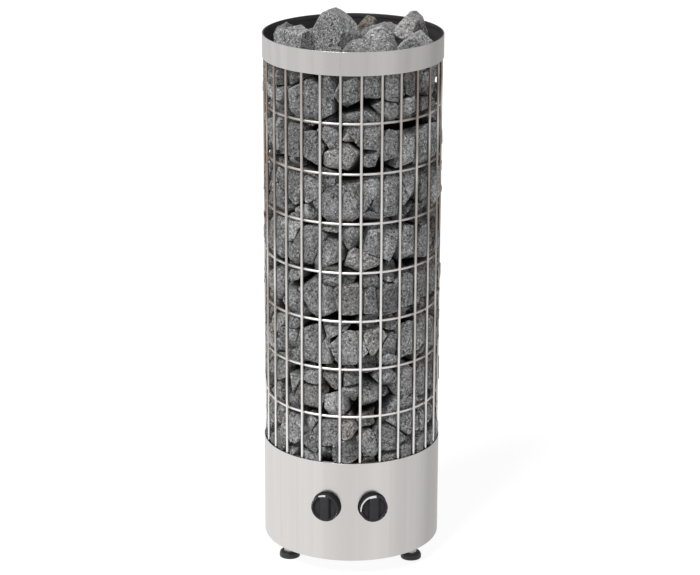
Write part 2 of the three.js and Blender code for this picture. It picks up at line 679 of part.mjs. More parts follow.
// Cable gland in the base plate: body, lock nut inside, clamping cap below
const gland = new THREE.Group();
gland.position.set(...glandPlace, 0);
heater.add(gland);
const glandCollar = baseBottom - GAP - GLAND_COLLAR;
const lockNutTop = baseTop + GAP + LOCK_NUT_HEIGHT;
const glandTop = lockNutTop + GLAND_SPARE;
const glandBlank = join([
  bar(GLAND_RADIUS, glandCollar, glandTop, 20),
  bar(GLAND_HEX, glandCollar, baseBottom - GAP, 6),
]);
const glandBody = cut(glandBlank, [bar(GLAND_BORE, glandCollar - OVERRUN, glandTop + OVERRUN, 16)]);
add(gland, "cable_gland", glandBody, blackPlastic());
const lockNut = hexNut(GLAND_HEX, GLAND_RADIUS + GAP, baseTop + GAP, lockNutTop);
add(gland, "gland_lock_nut", lockNut, blackPlastic());
const capBottom = glandCollar - GAP - GLAND_CAP_LENGTH;
const capBlank = turned([
  [GLAND_BORE, capBottom],
  [GLAND_RADIUS, capBottom],
  [GLAND_CAP_RADIUS, capBottom + GLAND_CAP_LENGTH / 2],
  [GLAND_CAP_RADIUS, glandCollar - GAP],
  [GLAND_BORE, glandCollar - GAP],
], 16);
add(gland, "gland_cap", capBlank, blackPlastic());

// Random numbers that come out the same at every build
function randomFrom(seed) {
  let state = seed;
  return () => {
    state = (state + 0x6d2b79f5) | 0;
    let mixed = Math.imul(state ^ (state >>> 15), 1 | state);
    mixed = (mixed + Math.imul(mixed ^ (mixed >>> 7), 61 | mixed)) ^ mixed;
    return ((mixed ^ (mixed >>> 14)) >>> 0) / 4294967296;
  };
}
const random = randomFrom(STONE_SEED);
const between = (low, high) => low + (high - low) * random();
function randomDirection() {
  const height = between(-1, 1);
  const angle = between(0, 2 * Math.PI);
  const flat = Math.sqrt(1 - height * height);
  return new THREE.Vector3(flat * Math.cos(angle), flat * Math.sin(angle), height);
}

// Directions spread evenly over a ball, each nudged a little
function spreadDirection(index, count) {
  const height = 1 - (2 * index + 1) / count;
  const angle = index * Math.PI * (3 - Math.sqrt(5));
  const flat = Math.sqrt(1 - height * height);
  const even = new THREE.Vector3(flat * Math.cos(angle), flat * Math.sin(angle), height);
  return even.addScaledVector(randomDirection(), CROWN_NUDGE).normalize();
}

// Where the stones lie: those seen from the front, rows round the rest, and the crown in the band
const stones = [];
function layStone(turn, level, size, depth) {
  const outward = new THREE.Vector3(Math.sin(radians(turn)), -Math.cos(radians(turn)), 0);
  const centre = outward.clone().multiplyScalar(coreRadius + STONE_LAYER * depth).setZ(bedBottom + level);
  const row = THREE.MathUtils.clamp(Math.floor(level / rowHeight), 0, STONE_ROWS - 1);
  stones.push({ row, outward, centre, size, planes: [] });
}
const frontScale = (bedTop - bedBottom) / FRONT_SPAN;
for (const [turn, height, size] of FRONT) {
  layStone(turn, (height - FRONT_BASE) * frontScale, size * frontScale, between(...FRONT_DEPTH));
}
for (let row = 0; row < STONE_ROWS; row += 1) {
  const spacing = 360 / STONES_PER_ROW;
  for (let i = 0; i < STONES_PER_ROW; i += 1) {
    const turn = (i + (row % 2) / 2 + between(-TURN_PLAY, TURN_PLAY)) * spacing;
    const level = rowHeight * (row + 0.5 + between(-LEVEL_PLAY, LEVEL_PLAY));
    if (turn > FRONT_REACH + spacing / 4 && turn < 360 - FRONT_REACH - spacing / 4) {
      layStone(turn, level, rowHeight * between(...ROW_STONE), between(...ROW_DEPTH));
    }
  }
}
for (const [x, y, rise, ...half] of CROWN) {
  const centre = new THREE.Vector3(x, y, bedTop + rise);
  const outward = new THREE.Vector3(x, y, 0).normalize();
  const size = (half[0] + half[1] + half[2]) / 3;
  const stretch = new THREE.Vector3(...half);
  stones.push({ row: STONE_ROWS, outward, centre, size, stretch, planes: [] });
}

// A half-space that a stone stays in: it keeps on its own side of the plane through a point.
function keep(stone, normal, point, gap) {
  const distance = point.clone().sub(stone.centre).dot(normal) - gap;
  stone.planes.push({ normal: normal.clone(), distance: Math.max(distance, 1) });
}

// Neighbours share a tilted plane between them
stones.forEach((a, i) => {
  for (const b of stones.slice(i + 1)) {
    const across = b.centre.clone().sub(a.centre);
    const length = across.length();
    if (length < rowHeight * NEIGHBOUR_ROWS) {
      const share = 0.5 + (a.size ** 2 - b.size ** 2) / (2 * length * length);
      const point = a.centre.clone().addScaledVector(across, THREE.MathUtils.clamp(share, ...STONE_SHARE));
      const normal = across.normalize().addScaledVector(randomDirection(), STONE_TILT).normalize();
      keep(a, normal, point, GAP);
      keep(b, normal.clone().negate(), point, GAP);
    }
  }
});

// Each stone keeps inside the cage and clear of the plates and of the other tiers' cores
const up = new THREE.Vector3(0, 0, 1);
const down = up.clone().negate();
const faceDistance = stoneLimit * Math.cos(radians(CAGE_FACE_STEP / 2));
for (const stone of stones) {
  const { outward, centre, row, size } = stone;
  for (let k = -CAGE_FACES; k <= CAGE_FACES; k += 1) {
    const normal = outward.clone().applyAxisAngle(up, radians(CAGE_FACE_STEP * k));
    keep(stone, normal, normal.clone().multiplyScalar(faceDistance), 0);
  }
  const isCrown = row === STONE_ROWS;
  const base = isCrown ? bedTop + GAP : bedBottom;
  keep(stone, down, new THREE.Vector3(0, 0, base), 0);
  if (!isCrown) {
    const root = outward.clone().multiplyScalar(coreRadius + 1);
    const inward = outward.clone().negate();
    keep(stone, inward, outward.clone().multiplyScalar(coreRadius - STONE_BITE), 0);
    const first = row - (row % ROWS_PER_TIER);
    const low = root.clone().setZ(bedBottom + rowHeight * first + 2 * GAP);
    const high = root.clone().setZ(bedBottom + rowHeight * (first + ROWS_PER_TIER) - 2 * GAP);
    keep(stone, down.clone().addScaledVector(inward, TIER_SLOPE).normalize(), low, 0);
    keep(stone, up.clone().addScaledVector(inward, TIER_SLOPE).normalize(), high, 0);
  }
  const half = stone.stretch ?? new THREE.Vector3(size, size, size);
  const facets = isCrown ? CROWN_FACETS : STONE_FACETS;
  for (let k = 0; k < facets; k += 1) {
    const normal = isCrown ? spreadDirection(k, facets) : randomDirection();
    const resting = isCrown ? normal.z < -0.25 : normal.dot(outward) < -0.3;
    if (!resting) {
      const reach = normal.clone().multiply(half).length();
      stone.planes.push({ normal, distance: reach * between(...FACET_REACH) });
    }
  }
  for (const normal of [up, outward, new THREE.Vector3().crossVectors(up, outward)]) {
    const back = normal === outward ? STONE_LAYER : size * STONE_BOX;
    stone.planes.push({ normal, distance: size * STONE_BOX });
    stone.planes.push({ normal: normal.clone().negate(), distance: isCrown ? size * CROWN_ROOT : back });
  }
}

// The solid inside all of a stone's planes, its closest corners drawn together until few are left
function carve({ centre, planes, stretch }) {
  const dual = planes.map(({ normal, distance }) => normal.clone().divideScalar(distance));
  const hull = new ConvexHull().setFromPoints(dual);
  const corners = hull.faces.map((face) => face.normal.clone().divideScalar(face.constant));
  const most = stretch ? CROWN_CORNERS : STONE_CORNERS;
  while (corners.length > most) {
    let [first, second, closest] = [0, 1, Infinity];
    for (let i = 0; i < corners.length; i += 1) {
      for (let j = i + 1; j < corners.length; j += 1) {
        const apart = corners[i].distanceTo(corners[j]);
        if (apart < closest) {
          [first, second, closest] = [i, j, apart];
        }
      }
    }
    corners[first].lerp(corners[second], 0.5);
    corners.splice(second, 1);
  }
  return new ConvexGeometry(corners.map((corner) => corner.add(centre)));
}

// Tiers of stones, joined by the packed stones behind them, and the loose stones of the crown
for (let row = 0; row < STONE_ROWS; row += ROWS_PER_TIER) {
  const tier = stones.filter((s) => s.row >= row && s.row < Math.min(row + ROWS_PER_TIER, STONE_ROWS));
  const bottom = bedBottom + rowHeight * row + GAP;
  const top = bedBottom + rowHeight * Math.min(row + ROWS_PER_TIER, STONE_ROWS) - GAP;
  const wellTop = Math.min(elementTop + ELEMENT_RADIUS + ELEMENT_AIR, top);
  const profile = [
    [shaftWellRadius, wellTop],
    [shaftWellRadius, bottom],
    [coreRadius, bottom],
    [coreRadius, top],
  ];
  const covered = wellTop < top ? [[0, wellTop], ...profile, [0, top]] : profile;
  const core = turned(covered, CORE_SIDES);
  add(heater, `stone_tier_${row / ROWS_PER_TIER + 1}`, join([core, ...tier.map(carve)]), greyStone());
}
stones.filter((s) => s.row === STONE_ROWS).forEach((stone, i) => {
  add(heater, `crown_stone_${i + 1}`, carve(stone), greyStone());
});

export default heater;
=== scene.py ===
import json
import math
import random

import bmesh
import bpy
import numpy as np
from bpy.props import (FloatProperty, FloatVectorProperty, IntProperty,
                       PointerProperty)
from mathutils import Matrix, Vector, noise

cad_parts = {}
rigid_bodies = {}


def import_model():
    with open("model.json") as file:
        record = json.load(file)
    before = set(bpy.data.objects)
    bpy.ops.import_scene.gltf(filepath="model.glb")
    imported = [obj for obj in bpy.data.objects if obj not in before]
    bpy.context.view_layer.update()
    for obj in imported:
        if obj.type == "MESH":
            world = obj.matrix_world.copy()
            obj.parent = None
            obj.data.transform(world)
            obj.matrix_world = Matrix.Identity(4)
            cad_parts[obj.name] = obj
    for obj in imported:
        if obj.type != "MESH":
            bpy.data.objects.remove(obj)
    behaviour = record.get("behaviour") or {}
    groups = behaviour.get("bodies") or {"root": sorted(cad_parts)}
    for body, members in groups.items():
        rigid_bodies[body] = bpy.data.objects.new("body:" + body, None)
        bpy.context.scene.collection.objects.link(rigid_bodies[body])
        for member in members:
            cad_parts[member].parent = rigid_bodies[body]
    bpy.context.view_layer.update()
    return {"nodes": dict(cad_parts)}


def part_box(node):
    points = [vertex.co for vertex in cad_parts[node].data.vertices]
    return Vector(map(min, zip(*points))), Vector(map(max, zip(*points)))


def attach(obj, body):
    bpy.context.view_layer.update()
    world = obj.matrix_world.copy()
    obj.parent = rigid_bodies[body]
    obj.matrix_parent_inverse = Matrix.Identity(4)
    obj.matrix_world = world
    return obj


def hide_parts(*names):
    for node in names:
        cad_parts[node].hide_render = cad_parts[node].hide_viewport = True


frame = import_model()

bl_info = {
    "name": "Pillar sauna heater",
    "version": (1, 0, 0),
    "blender": (4, 5, 0),
    "location": "3D View > Sidebar > Heater",
    "description": "Builds the finished surfaces of a pillar sauna heater over its packed frame",
    "category": "Object",
}

RINGS = ["cage_ring_%d" % i for i in range(1, 8)]
TIERS = ["stone_tier_%d" % i for i in range(1, 7)]
CROWN = ["crown_stone_%d" % i for i in range(1, 12)]
FEET = (1, 2, 3)


# Settings

class HeaterSizes(bpy.types.PropertyGroup):
    """Lengths of the finished surfaces."""
    sheet: FloatProperty(name="Sheet", description="Thickness of the casing and band sheet",
                         default=0.001, unit="LENGTH")
    hem: FloatProperty(name="Hem", description="Depth of the folded edge inside the band",
                       default=0.0067, unit="LENGTH")
    wire: FloatProperty(name="Wire", description="Diameter of the cage wire",
                        default=0.0046, unit="LENGTH")
    upright_circle: FloatProperty(name="Upright circle", description="Radius to the middle of the uprights",
                                  default=0.14993, unit="LENGTH")
    ring_circle: FloatProperty(name="Ring circle", description="Radius to the middle of the rings",
                               default=0.14503, unit="LENGTH")
    upright_count: IntProperty(name="Uprights", description="Number of upright wires", default=27)
    end_ring_low: FloatProperty(name="Lowest ring", description="Height of the ring tucked in the casing",
                                default=0.210, unit="LENGTH")
    end_ring_high: FloatProperty(name="Highest ring", description="Height of the ring tucked in the band",
                                 default=0.8975, unit="LENGTH")
    control_angle: FloatProperty(name="Control angle", description="Turn of each control from the front",
                                 default=math.radians(14.8), subtype="ANGLE")
    control_hole: FloatProperty(name="Control hole", description="Radius of the hole round each knob",
                                default=0.0256, unit="LENGTH")
    stone_swell: FloatProperty(name="Stone swell", description="How far stones bulge between the rings",
                               default=0.0100, unit="LENGTH")
    stone_grain: FloatProperty(name="Stone grain", description="Depth of the broken surface of a stone",
                               default=0.0014, unit="LENGTH")


class HeaterFinish(bpy.types.PropertyGroup):
    """Colours of the finished surfaces."""
    steel: FloatVectorProperty(name="Steel", description="Brushed stainless steel",
                               default=(0.63, 0.609, 0.597), subtype="COLOR")
    wire: FloatVectorProperty(name="Wire", description="Cage wire",
                              default=(0.80, 0.785, 0.77), subtype="COLOR")
    # The heat tint colour is also painted on the wires' left and right sides as a darker reflection.
    tint: FloatVectorProperty(name="Heat tint", description="Brown film that heat leaves on the wire",
                              default=(0.33, 0.282, 0.245), subtype="COLOR")
    stone: FloatVectorProperty(name="Stone", description="Body colour of the stones",
                               default=(0.168, 0.168, 0.170), subtype="COLOR")
    plastic: FloatVectorProperty(name="Plastic", description="Black plastic",
                                 default=(0.019, 0.019, 0.021), subtype="COLOR")
    mark: FloatVectorProperty(name="Marks", description="Scale printed on the knobs",
                              default=(0.55, 0.55, 0.55), subtype="COLOR")


class HeaterStage(bpy.types.PropertyGroup):
    """Camera and light."""
    distance: FloatProperty(name="Distance", description="Level distance of the camera from the middle",
                            default=4.2169, unit="LENGTH")
    height: FloatProperty(name="Height", description="Height of the camera",
                          default=1.8657, unit="LENGTH")
    azimuth: FloatProperty(name="Azimuth", description="Turn of the camera round the heater",
                           default=math.radians(1.1), subtype="ANGLE")
    heading: FloatProperty(name="Heading", description="Turn of the view from the heater's middle",
                           default=math.radians(0.049), subtype="ANGLE")
    pitch: FloatProperty(name="Pitch", description="How far the camera looks down",
                         default=math.radians(18.174), subtype="ANGLE")
    roll: FloatProperty(name="Roll", description="Roll of the camera",
                        default=math.radians(0.216), subtype="ANGLE")
    lens: FloatProperty(name="Lens", description="Focal length in millimetres", default=131.18)
    key: FloatProperty(name="Key light", description="Strength of the key light", default=3.0)
    ambient: FloatProperty(name="Ambient", description="Strength of the light from all round", default=0.40)


# Node trees

class Field:
    """A socket of a node tree that takes part in arithmetic."""

    def __init__(self, maker, socket):
        self.maker, self.socket = maker, socket

    def math(self, operation, *others):
        return self.maker.add("ShaderNodeMath", {"operation": operation},
                              {i: v for i, v in enumerate((self,) + others)})

    def __add__(self, other): return self.math("ADD", other)
    def __sub__(self, other): return self.math("SUBTRACT", other)
    def __mul__(self, other): return self.math("MULTIPLY", other)
    def __truediv__(self, other): return self.math("DIVIDE", other)
    def __neg__(self): return self.math("MULTIPLY", -1.0)
    __radd__, __rmul__ = __add__, __mul__

    def __rsub__(self, other):
        return self.maker.add("ShaderNodeMath", {"operation": "SUBTRACT"}, {0: other, 1: self})

    def __rtruediv__(self, other):
        return self.maker.add("ShaderNodeMath", {"operation": "DIVIDE"}, {0: other, 1: self})

    def above(self, other): return self.math("GREATER_THAN", other)
    def below(self, other): return self.math("LESS_THAN", other)
    def between(self, low, high): return self.above(low) * self.below(high)

    def ramp(self, low, high):
        """From 0 at low to 1 at high, smooth and clamped."""
        return self.maker.add("ShaderNodeMapRange", {"interpolation_type": "SMOOTHSTEP"},
                              {"Value": self, "From Min": low, "From Max": high})


class Maker:
    """Adds nodes to one tree."""

    def __init__(self, tree):
        self.tree = tree

    def put(self, socket, value):
        if isinstance(value, Field):
            self.tree.links.new(value.socket, socket)
        else:
            socket.default_value = value

    def add(self, kind, settings=None, inputs=None, out=0):
        """One node: its settings first, then the values or links of its sockets."""
        node = self.tree.nodes.new(kind)
        for key, value in (settings or {}).items():
            if key == "stops":
                self.set_stops(node.color_ramp.elements, value)
            else:
                setattr(node, key, value)
        for key, value in (inputs or {}).items():
            for one in value if isinstance(value, list) else [value]:
                self.put(node.inputs[key], one)
        return Field(self, node.outputs[out]) if len(node.outputs) else None

    def set_stops(self, elements, stops):
        """Grey levels of a ramp, each with its place."""
        while len(elements) < len(stops):
            elements.new(1.0)
        for element, (at, level) in zip(elements, stops):
            element.position, element.color = at, (level, level, level, 1.0)

    def mix(self, factor, a, b):
        return self.add("ShaderNodeMix", {"data_type": "RGBA"},
                        {0: factor, 6: colour(a), 7: colour(b)}, 2)

    def scaled(self, tone, amount):
        """A colour times a number."""
        return self.add("ShaderNodeVectorMath", {"operation": "SCALE"}, {0: tone, "Scale": amount})

    def place(self):
        """Object coordinates as a vector and as three numbers."""
        at = self.add("ShaderNodeTexCoord", out="Object")
        apart = self.add("ShaderNodeSeparateXYZ", inputs={0: at}).socket.node
        return at, [Field(self, s) for s in apart.outputs]

    def noise(self, at, scale, detail=2.0, roughness=0.5):
        return self.add("ShaderNodeTexNoise", None,
                        {"Vector": at, "Scale": scale, "Detail": detail, "Roughness": roughness}, "Fac")

    def cells(self, at, scale):
        return self.add("ShaderNodeTexVoronoi", None, {"Vector": at, "Scale": scale}, "Distance")

    def join(self, x, y, z):
        return self.add("ShaderNodeCombineXYZ", None, {0: x, 1: y, 2: z})

    def bump(self, height, distance, strength=1.0):
        return self.add("ShaderNodeBump", None,
                        {"Height": height, "Distance": distance, "Strength": strength})


def colour(value):
    """Four channels for a colour socket; a field passes through."""
    if isinstance(value, Field):
        return value
    return tuple(value) if len(value) == 4 else (*value, 1.0)


def material(name):
    """A new material with its node maker and its main shader."""
    made = bpy.data.materials.new(name)
    made.use_nodes = True
    maker = Maker(made.node_tree)
    return made, maker, made.node_tree.nodes["Principled BSDF"]


def finish_shader(maker, shader, **values):
    """Sets the sockets of a main shader; underscores stand for spaces."""
    for key, value in values.items():
        socket = shader.inputs[key.replace("_", " ")]
        if socket.type == "RGBA":
            value = colour(value)
        maker.put(socket, value)


# Materials

INSIDE_BLUR = 0.0002
WIRE_SHADE = (0.2150, 0.2122)
SCALE_HEIGHT = 0.0120
SHADED_SIDE_HEIGHT = 0.0122
FAINT_TICK = 0.6


def steel_material(finish, name, inner_radius=0.0):
    """Brushed sheet: grain along the girth, soft streaks up and down painted as reflections, painted shade
    inside.
    """
    made, m, shader = material(name)
    at, (x, y, z) = m.place()
    turn = x.math("ARCTAN2", -y)
    grain = m.noise(m.join(turn * 9.0, z * 2300.0, 0.0), 1.0, 3.0)
    reflection_streak = m.noise(m.join(turn * 5.0, z * 0.25, 3.0), 1.0, 3.0)
    fine = m.noise(m.join(turn * 26.0, z * 0.4, 7.0), 1.0, 2.0)
    cloud = m.noise(at, 18.0, 3.0)
    # Painted reflection: the streak and fine noises make soft vertical bands that stand in for the blurred
    # reflections of brushed steel.
    level = 0.94 + (reflection_streak - 0.5) * 0.10 + (fine - 0.5) * 0.08 + (grain - 0.5) * 0.04 + (cloud - 0.5) * 0.02
    tone = m.scaled(colour(finish.steel)[:3], level)
    rough = 0.24 + (grain - 0.5) * 0.08 + (cloud - 0.5) * 0.04
    metal = 1.0
    if inner_radius:
        # Painted shade: inside the sheet the colour goes dark and less metallic, standing in for the shade
        # and dark reflections within.
        reach = (x * x + y * y).math("SQRT")
        inside = reach.ramp(inner_radius + INSIDE_BLUR, inner_radius - INSIDE_BLUR)
        painted_shade = m.mix(cloud, (0.030, 0.028, 0.030), (0.078, 0.073, 0.077))
        tone = m.mix(inside, tone, painted_shade)
        rough = rough + inside * 0.15
        metal = 1.0 - inside * 0.7
    finish_shader(m, shader, Base_Color=tone, Metallic=metal, Roughness=rough,
                  Normal=m.bump(grain, 0.00003, 0.4))
    return made


def wire_material(finish):
    """Drawn wire with die lines, a brown film high up where the stones are hottest, the same brown painted
    on the left and right sides as a darker reflection, and painted shade where the wire goes into the
    casing.
    """
    made, m, shader = material("wire_steel")
    at, (x, y, z) = m.place()
    lines = m.noise(m.join(x * 900.0, y * 900.0, z * 14.0), 1.0, 2.0)
    patch = m.noise(at, 9.0, 3.0)
    # Painted reflection: the brown is also laid on the left and right sides of the cage, for the darker
    # reflection seen there.
    painted_side_reflection = x.math("ABSOLUTE").ramp(0.05, 0.15)
    film = (z.ramp(0.45, 0.95) * 0.50 + painted_side_reflection * z.ramp(0.20, 0.45) * 0.80) * patch.ramp(0.20, 0.60)
    tone = m.mix(film, finish.wire, finish.tint)
    # Painted shade: the wire darkens just below the casing rim, where it goes into the casing.
    tone = m.scaled(tone, (0.88 + lines * 0.24) * (1.0 - z.ramp(*WIRE_SHADE) * 0.88))
    finish_shader(m, shader, Base_Color=tone, Metallic=1.0,
                  Roughness=0.36 + lines * 0.16 + film * 0.12, Normal=m.bump(lines, 0.00004, 0.4))
    return made


def stone_material(finish):
    """Split igneous rock: pale and dark crystals over a mid grey; the tone attribute carries painted shade
    in the hollows and painted highlights.
    """
    made, m, shader = material("split_stone")
    at, _ = m.place()
    tone = m.add("ShaderNodeAttribute", {"attribute_name": "tone"}, out="Fac")
    warm = m.add("ShaderNodeAttribute", {"attribute_name": "warm"}, out="Fac")
    drift = m.add("ShaderNodeTexNoise", None, {"Vector": at, "Scale": 160.0, "Detail": 2.0}, "Color")
    bent = m.add("ShaderNodeVectorMath", {"operation": "ADD"}, {0: at, 1: m.scaled(drift, 0.006)})
    broad = m.noise(at, 38.0, 4.0, 0.6).ramp(0.25, 0.75)
    mid = m.noise(bent, 230.0, 3.0, 0.65).ramp(0.30, 0.70)
    fine = m.noise(bent, 640.0, 2.0, 0.6).ramp(0.28, 0.72)
    pale = m.cells(bent, 270.0).ramp(0.36, 0.12)
    dark = m.cells(bent, 205.0).ramp(0.32, 0.10)
    level = 0.60 + (broad - 0.5) * 0.35 + (mid - 0.5) * 0.85 + (fine - 0.5) * 0.60
    level = level + pale * 0.95 - dark * 0.50
    level = level.math("MAXIMUM", 0.10) * tone * 1.45
    body = m.mix(warm, finish.stone, (0.195, 0.165, 0.140))
    height = broad * 0.8 + mid * 0.7 + fine * 0.35 - dark * 0.3
    finish_shader(m, shader, Base_Color=m.scaled(body, level), Metallic=0.0, Specular_IOR_Level=0.35,
                  Roughness=0.90 - pale * 0.25, Normal=m.bump(height, 0.0012, 0.8))
    return made


def plastic_material(finish, name, kind="", gloss=0.3):
    """Moulded black plastic with a fine spark grain; a knob carries its printed scale and painted shade on
    its side.
    """
    made, m, shader = material(name)
    at, _ = m.place()
    spark = m.noise(at, 2600.0, 2.0)
    cloud = m.noise(at, 55.0, 3.0)
    tone = m.mix(cloud, finish.plastic, tuple(1.7 * c for c in finish.plastic))
    rough = 0.42 + (spark - 0.5) * 0.2 + (cloud - 0.5) * 0.1
    if kind:
        dial = m.add("ShaderNodeAttribute", {"attribute_name": "dial"}, out="Vector")
        apart = m.add("ShaderNodeSeparateXYZ", None, {0: dial}).socket.node
        u, v, s = (Field(m, o) for o in apart.outputs)
        turn = u.math("ARCTAN2", v) * (180.0 / math.pi)
        reach = (u * u + v * v).math("SQRT") * 1000.0
        # The scale in degrees from the top and in millimetres from the middle
        if kind == "timer":
            arc = turn.between(-28.0, 3.0) * reach.between(22.2, 24.2)
            tick = (turn + 360.0).math("MODULO", 12.0).below(2.6) * reach.between(22.3, 23.6)
            used = turn.between(-86.0, -46.0) + turn.between(98.0, 142.0)
        else:
            inner = 22.6 - turn.ramp(-104.0, 4.0)
            arc = turn.between(-97.0, 9.0) * reach.between(inner, 24.3)
            tick = (turn + 360.0).math("MODULO", 20.0).below(2.8) * reach.between(22.4, 23.6)
            used = turn.between(96.0, 150.0)
        mark = arc.math("MAXIMUM", tick * used * FAINT_TICK) * s.above(SCALE_HEIGHT)
        # Painted shade: the knob's side under the rim, down in the hole, goes near black.
        side = reach.above(23.9) * s.below(SHADED_SIDE_HEIGHT)
        tone = m.mix(side, tone, (0.005, 0.005, 0.005))
        rough = rough + side * 0.2
        tone = m.mix(mark, tone, finish.mark)
        rough = rough + mark * 0.1
    finish_shader(m, shader, Base_Color=tone, Metallic=0.0, Roughness=rough, Specular_IOR_Level=gloss,
                  Normal=m.bump(spark, 0.00008, 0.5))
    return made


def worn_metal(name, low, high, rough, scale, metallic=1.0, depth=0.0001):
    """A metal whose colour wanders between two tones in clouds and fine grain."""
    made, m, shader = material(name)
    at, _ = m.place()
    cloud = m.noise(at, scale, 4.0, 0.6)
    grain = m.noise(at, scale * 24.0, 2.0)
    tone = m.mix((cloud * 0.7 + grain * 0.3).ramp(0.32, 0.68), low, high)
    finish_shader(m, shader, Base_Color=tone, Metallic=metallic,
                  Roughness=rough + (cloud - 0.5) * 0.2 + (grain - 0.5) * 0.1,
                  Normal=m.bump(cloud * 0.6 + grain * 0.4, depth, 0.5))
    return made


# Meshes

def add_object(name, mesh, body, nodes, look):
    """Links a finished mesh as the piece that stands for some nodes."""
    made = bpy.data.objects.new(name, mesh)
    bpy.context.scene.collection.objects.link(made)
    mesh.materials.clear()
    mesh.materials.append(look)
    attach(made, body)
    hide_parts(*nodes)
    return made


def smooth(mesh, angle=35.0):
    """Smooth shading that keeps the edges above an angle sharp."""
    mesh.shade_smooth()
    mesh.set_sharp_from_angle(angle=math.radians(angle))
    return mesh


def lathe(profile, segments, closed=False):
    """Spins a profile of radius and height about Z; radius zero is a pole."""
    verts, faces, loops = [], [], []
    for radius, height in profile:
        first = len(verts)
        if radius < 1e-7:
            loops.append([first] * segments)
            verts.append((0.0, 0.0, height))
            continue
        loops.append(range(first, first + segments))
        for i in range(segments):
            a = 2.0 * math.pi * i / segments
            verts.append((radius * math.sin(a), -radius * math.cos(a), height))
    for low, high in zip(loops, loops[1:] + (loops[:1] if closed else [])):
        for i in range(segments):
            j = (i + 1) % segments
            face = list(dict.fromkeys((low[i], low[j], high[j], high[i])))
            if len(face) > 2:
                faces.append(face)
    mesh = bpy.data.meshes.new("lathe")
    mesh.from_pydata(verts, [], faces)
    mesh.update()
    return mesh


def angles(first, end, step):
    """Angles in radians from a range of degrees."""
    return [math.radians(a) for a in range(first, end, step)]


def rounded(corners, radius, steps=4):
    """A closed profile with each corner turned into a small arc."""
    out = []
    for i, here in enumerate(corners):
        before, after = Vector(corners[i - 1]), Vector(corners[(i + 1) % len(corners)])
        here = Vector(here)
        a, b = before - here, after - here
        cut = min(radius, a.length * 0.45, b.length * 0.45)
        start, end = here + a.normalized() * cut, here + b.normalized() * cut
        for k in range(steps + 1):
            t = k / steps
            out.append(tuple(start * (1 - t) ** 2 + here * 2 * t * (1 - t) + end * t ** 2))
    return out


def level_of(node):
    """Height of the middle of a node."""
    return sum(c.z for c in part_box(node)) / 2


def baked(obj):
    """The mesh of an object with its modifiers applied; the object goes."""
    graph = bpy.context.evaluated_depsgraph_get()
    mesh = bpy.data.meshes.new_from_object(obj.evaluated_get(graph))
    bpy.data.objects.remove(obj)
    return mesh


def combined(mesh, others, operation):
    """One mesh cut by, joined to or kept inside other meshes."""
    scene = bpy.context.scene.collection.objects
    base = bpy.data.objects.new("base", mesh)
    scene.link(base)
    tools = []
    for other in others:
        tool = bpy.data.objects.new("tool", other)
        scene.link(tool)
        tools.append(tool)
        step = base.modifiers.new("boolean", "BOOLEAN")
        step.object, step.operation, step.solver = tool, operation, "EXACT"
    bpy.context.view_layer.update()
    result = baked(base)
    for tool in tools:
        bpy.data.objects.remove(tool)
    return result


def joined(*meshes):
    """Several meshes as one."""
    bm = bmesh.new()
    for mesh in meshes:
        bm.from_mesh(mesh)
    out = bpy.data.meshes.new("joined")
    bm.to_mesh(out)
    bm.free()
    return out


# Sheet pieces

SHEET_STEPS = 240
HOLE_STEPS = 96
CASING_EDGE = 0.0004
BAND_EDGE = 0.0007
FOLD_SHEETS = 2.4
CUTTER_REACH = 0.02
INSIDE_MARGIN = 0.0004
CONTROLS = (("timer", -1), ("thermostat", 1))


def control_place(sizes, name, side):
    """Puts a control at its place on the casing, with its own Z pointing out of the sheet."""
    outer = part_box("lower_casing")[1].x
    return (Matrix.Rotation(side * sizes.control_angle, 4, "Z")
            @ Matrix.Translation((0.0, -outer, level_of(name + "_knob")))
            @ Matrix.Rotation(math.pi / 2, 4, "X"))


class HEATER_OT_casing(bpy.types.Operator):
    """Build the lower casing with its two control holes"""
    bl_idname = "heater.casing"
    bl_label = "Lower casing"

    def execute(self, context):
        sizes, finish = context.scene.heater_sizes, context.scene.heater_finish
        low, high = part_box("lower_casing")
        outer, inner = high.x, high.x - sizes.sheet
        profile = rounded([(outer, low.z), (outer, high.z), (inner, high.z), (inner, low.z)], CASING_EDGE)
        shell = lathe(profile, SHEET_STEPS, True)
        hole, reach = sizes.control_hole, CUTTER_REACH
        cutters = []
        for name, side in CONTROLS:
            cutter = lathe([(0.0, -reach), (hole, -reach), (hole, reach), (0.0, reach)], HOLE_STEPS)
            cutter.transform(control_place(sizes, name, side))
            cutters.append(cutter)
        mesh = smooth(combined(shell, cutters, "DIFFERENCE"), 30.0)
        if len(mesh.polygons) < 1000:
            raise RuntimeError("the casing lost its faces")
        add_object("casing_shell", mesh, "heater", ["lower_casing"],
                   steel_material(finish, "casing_steel", inner + INSIDE_MARGIN))
        return {"FINISHED"}


class HEATER_OT_band(bpy.types.Operator):
    """Build the top band with its folded edge"""
    bl_idname = "heater.band"
    bl_label = "Top band"

    def execute(self, context):
        sizes, finish = context.scene.heater_sizes, context.scene.heater_finish
        low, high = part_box("top_band")
        outer, inner = high.x, high.x - sizes.sheet
        fold = outer - FOLD_SHEETS * sizes.sheet
        profile = rounded([(outer, low.z), (outer, high.z), (fold, high.z), (fold, high.z - sizes.hem),
                           (inner, high.z - sizes.hem), (inner, low.z)], BAND_EDGE)
        mesh = smooth(lathe(profile, SHEET_STEPS, True), 40.0)
        add_object("band_shell", mesh, "heater", ["top_band"],
                   steel_material(finish, "band_steel", inner + INSIDE_MARGIN))
        return {"FINISHED"}


# Cage

UPRIGHT_SIDES = 16
RING_STEPS = 180
RING_SIDES = 14
BEAD_SWELL = 1.12


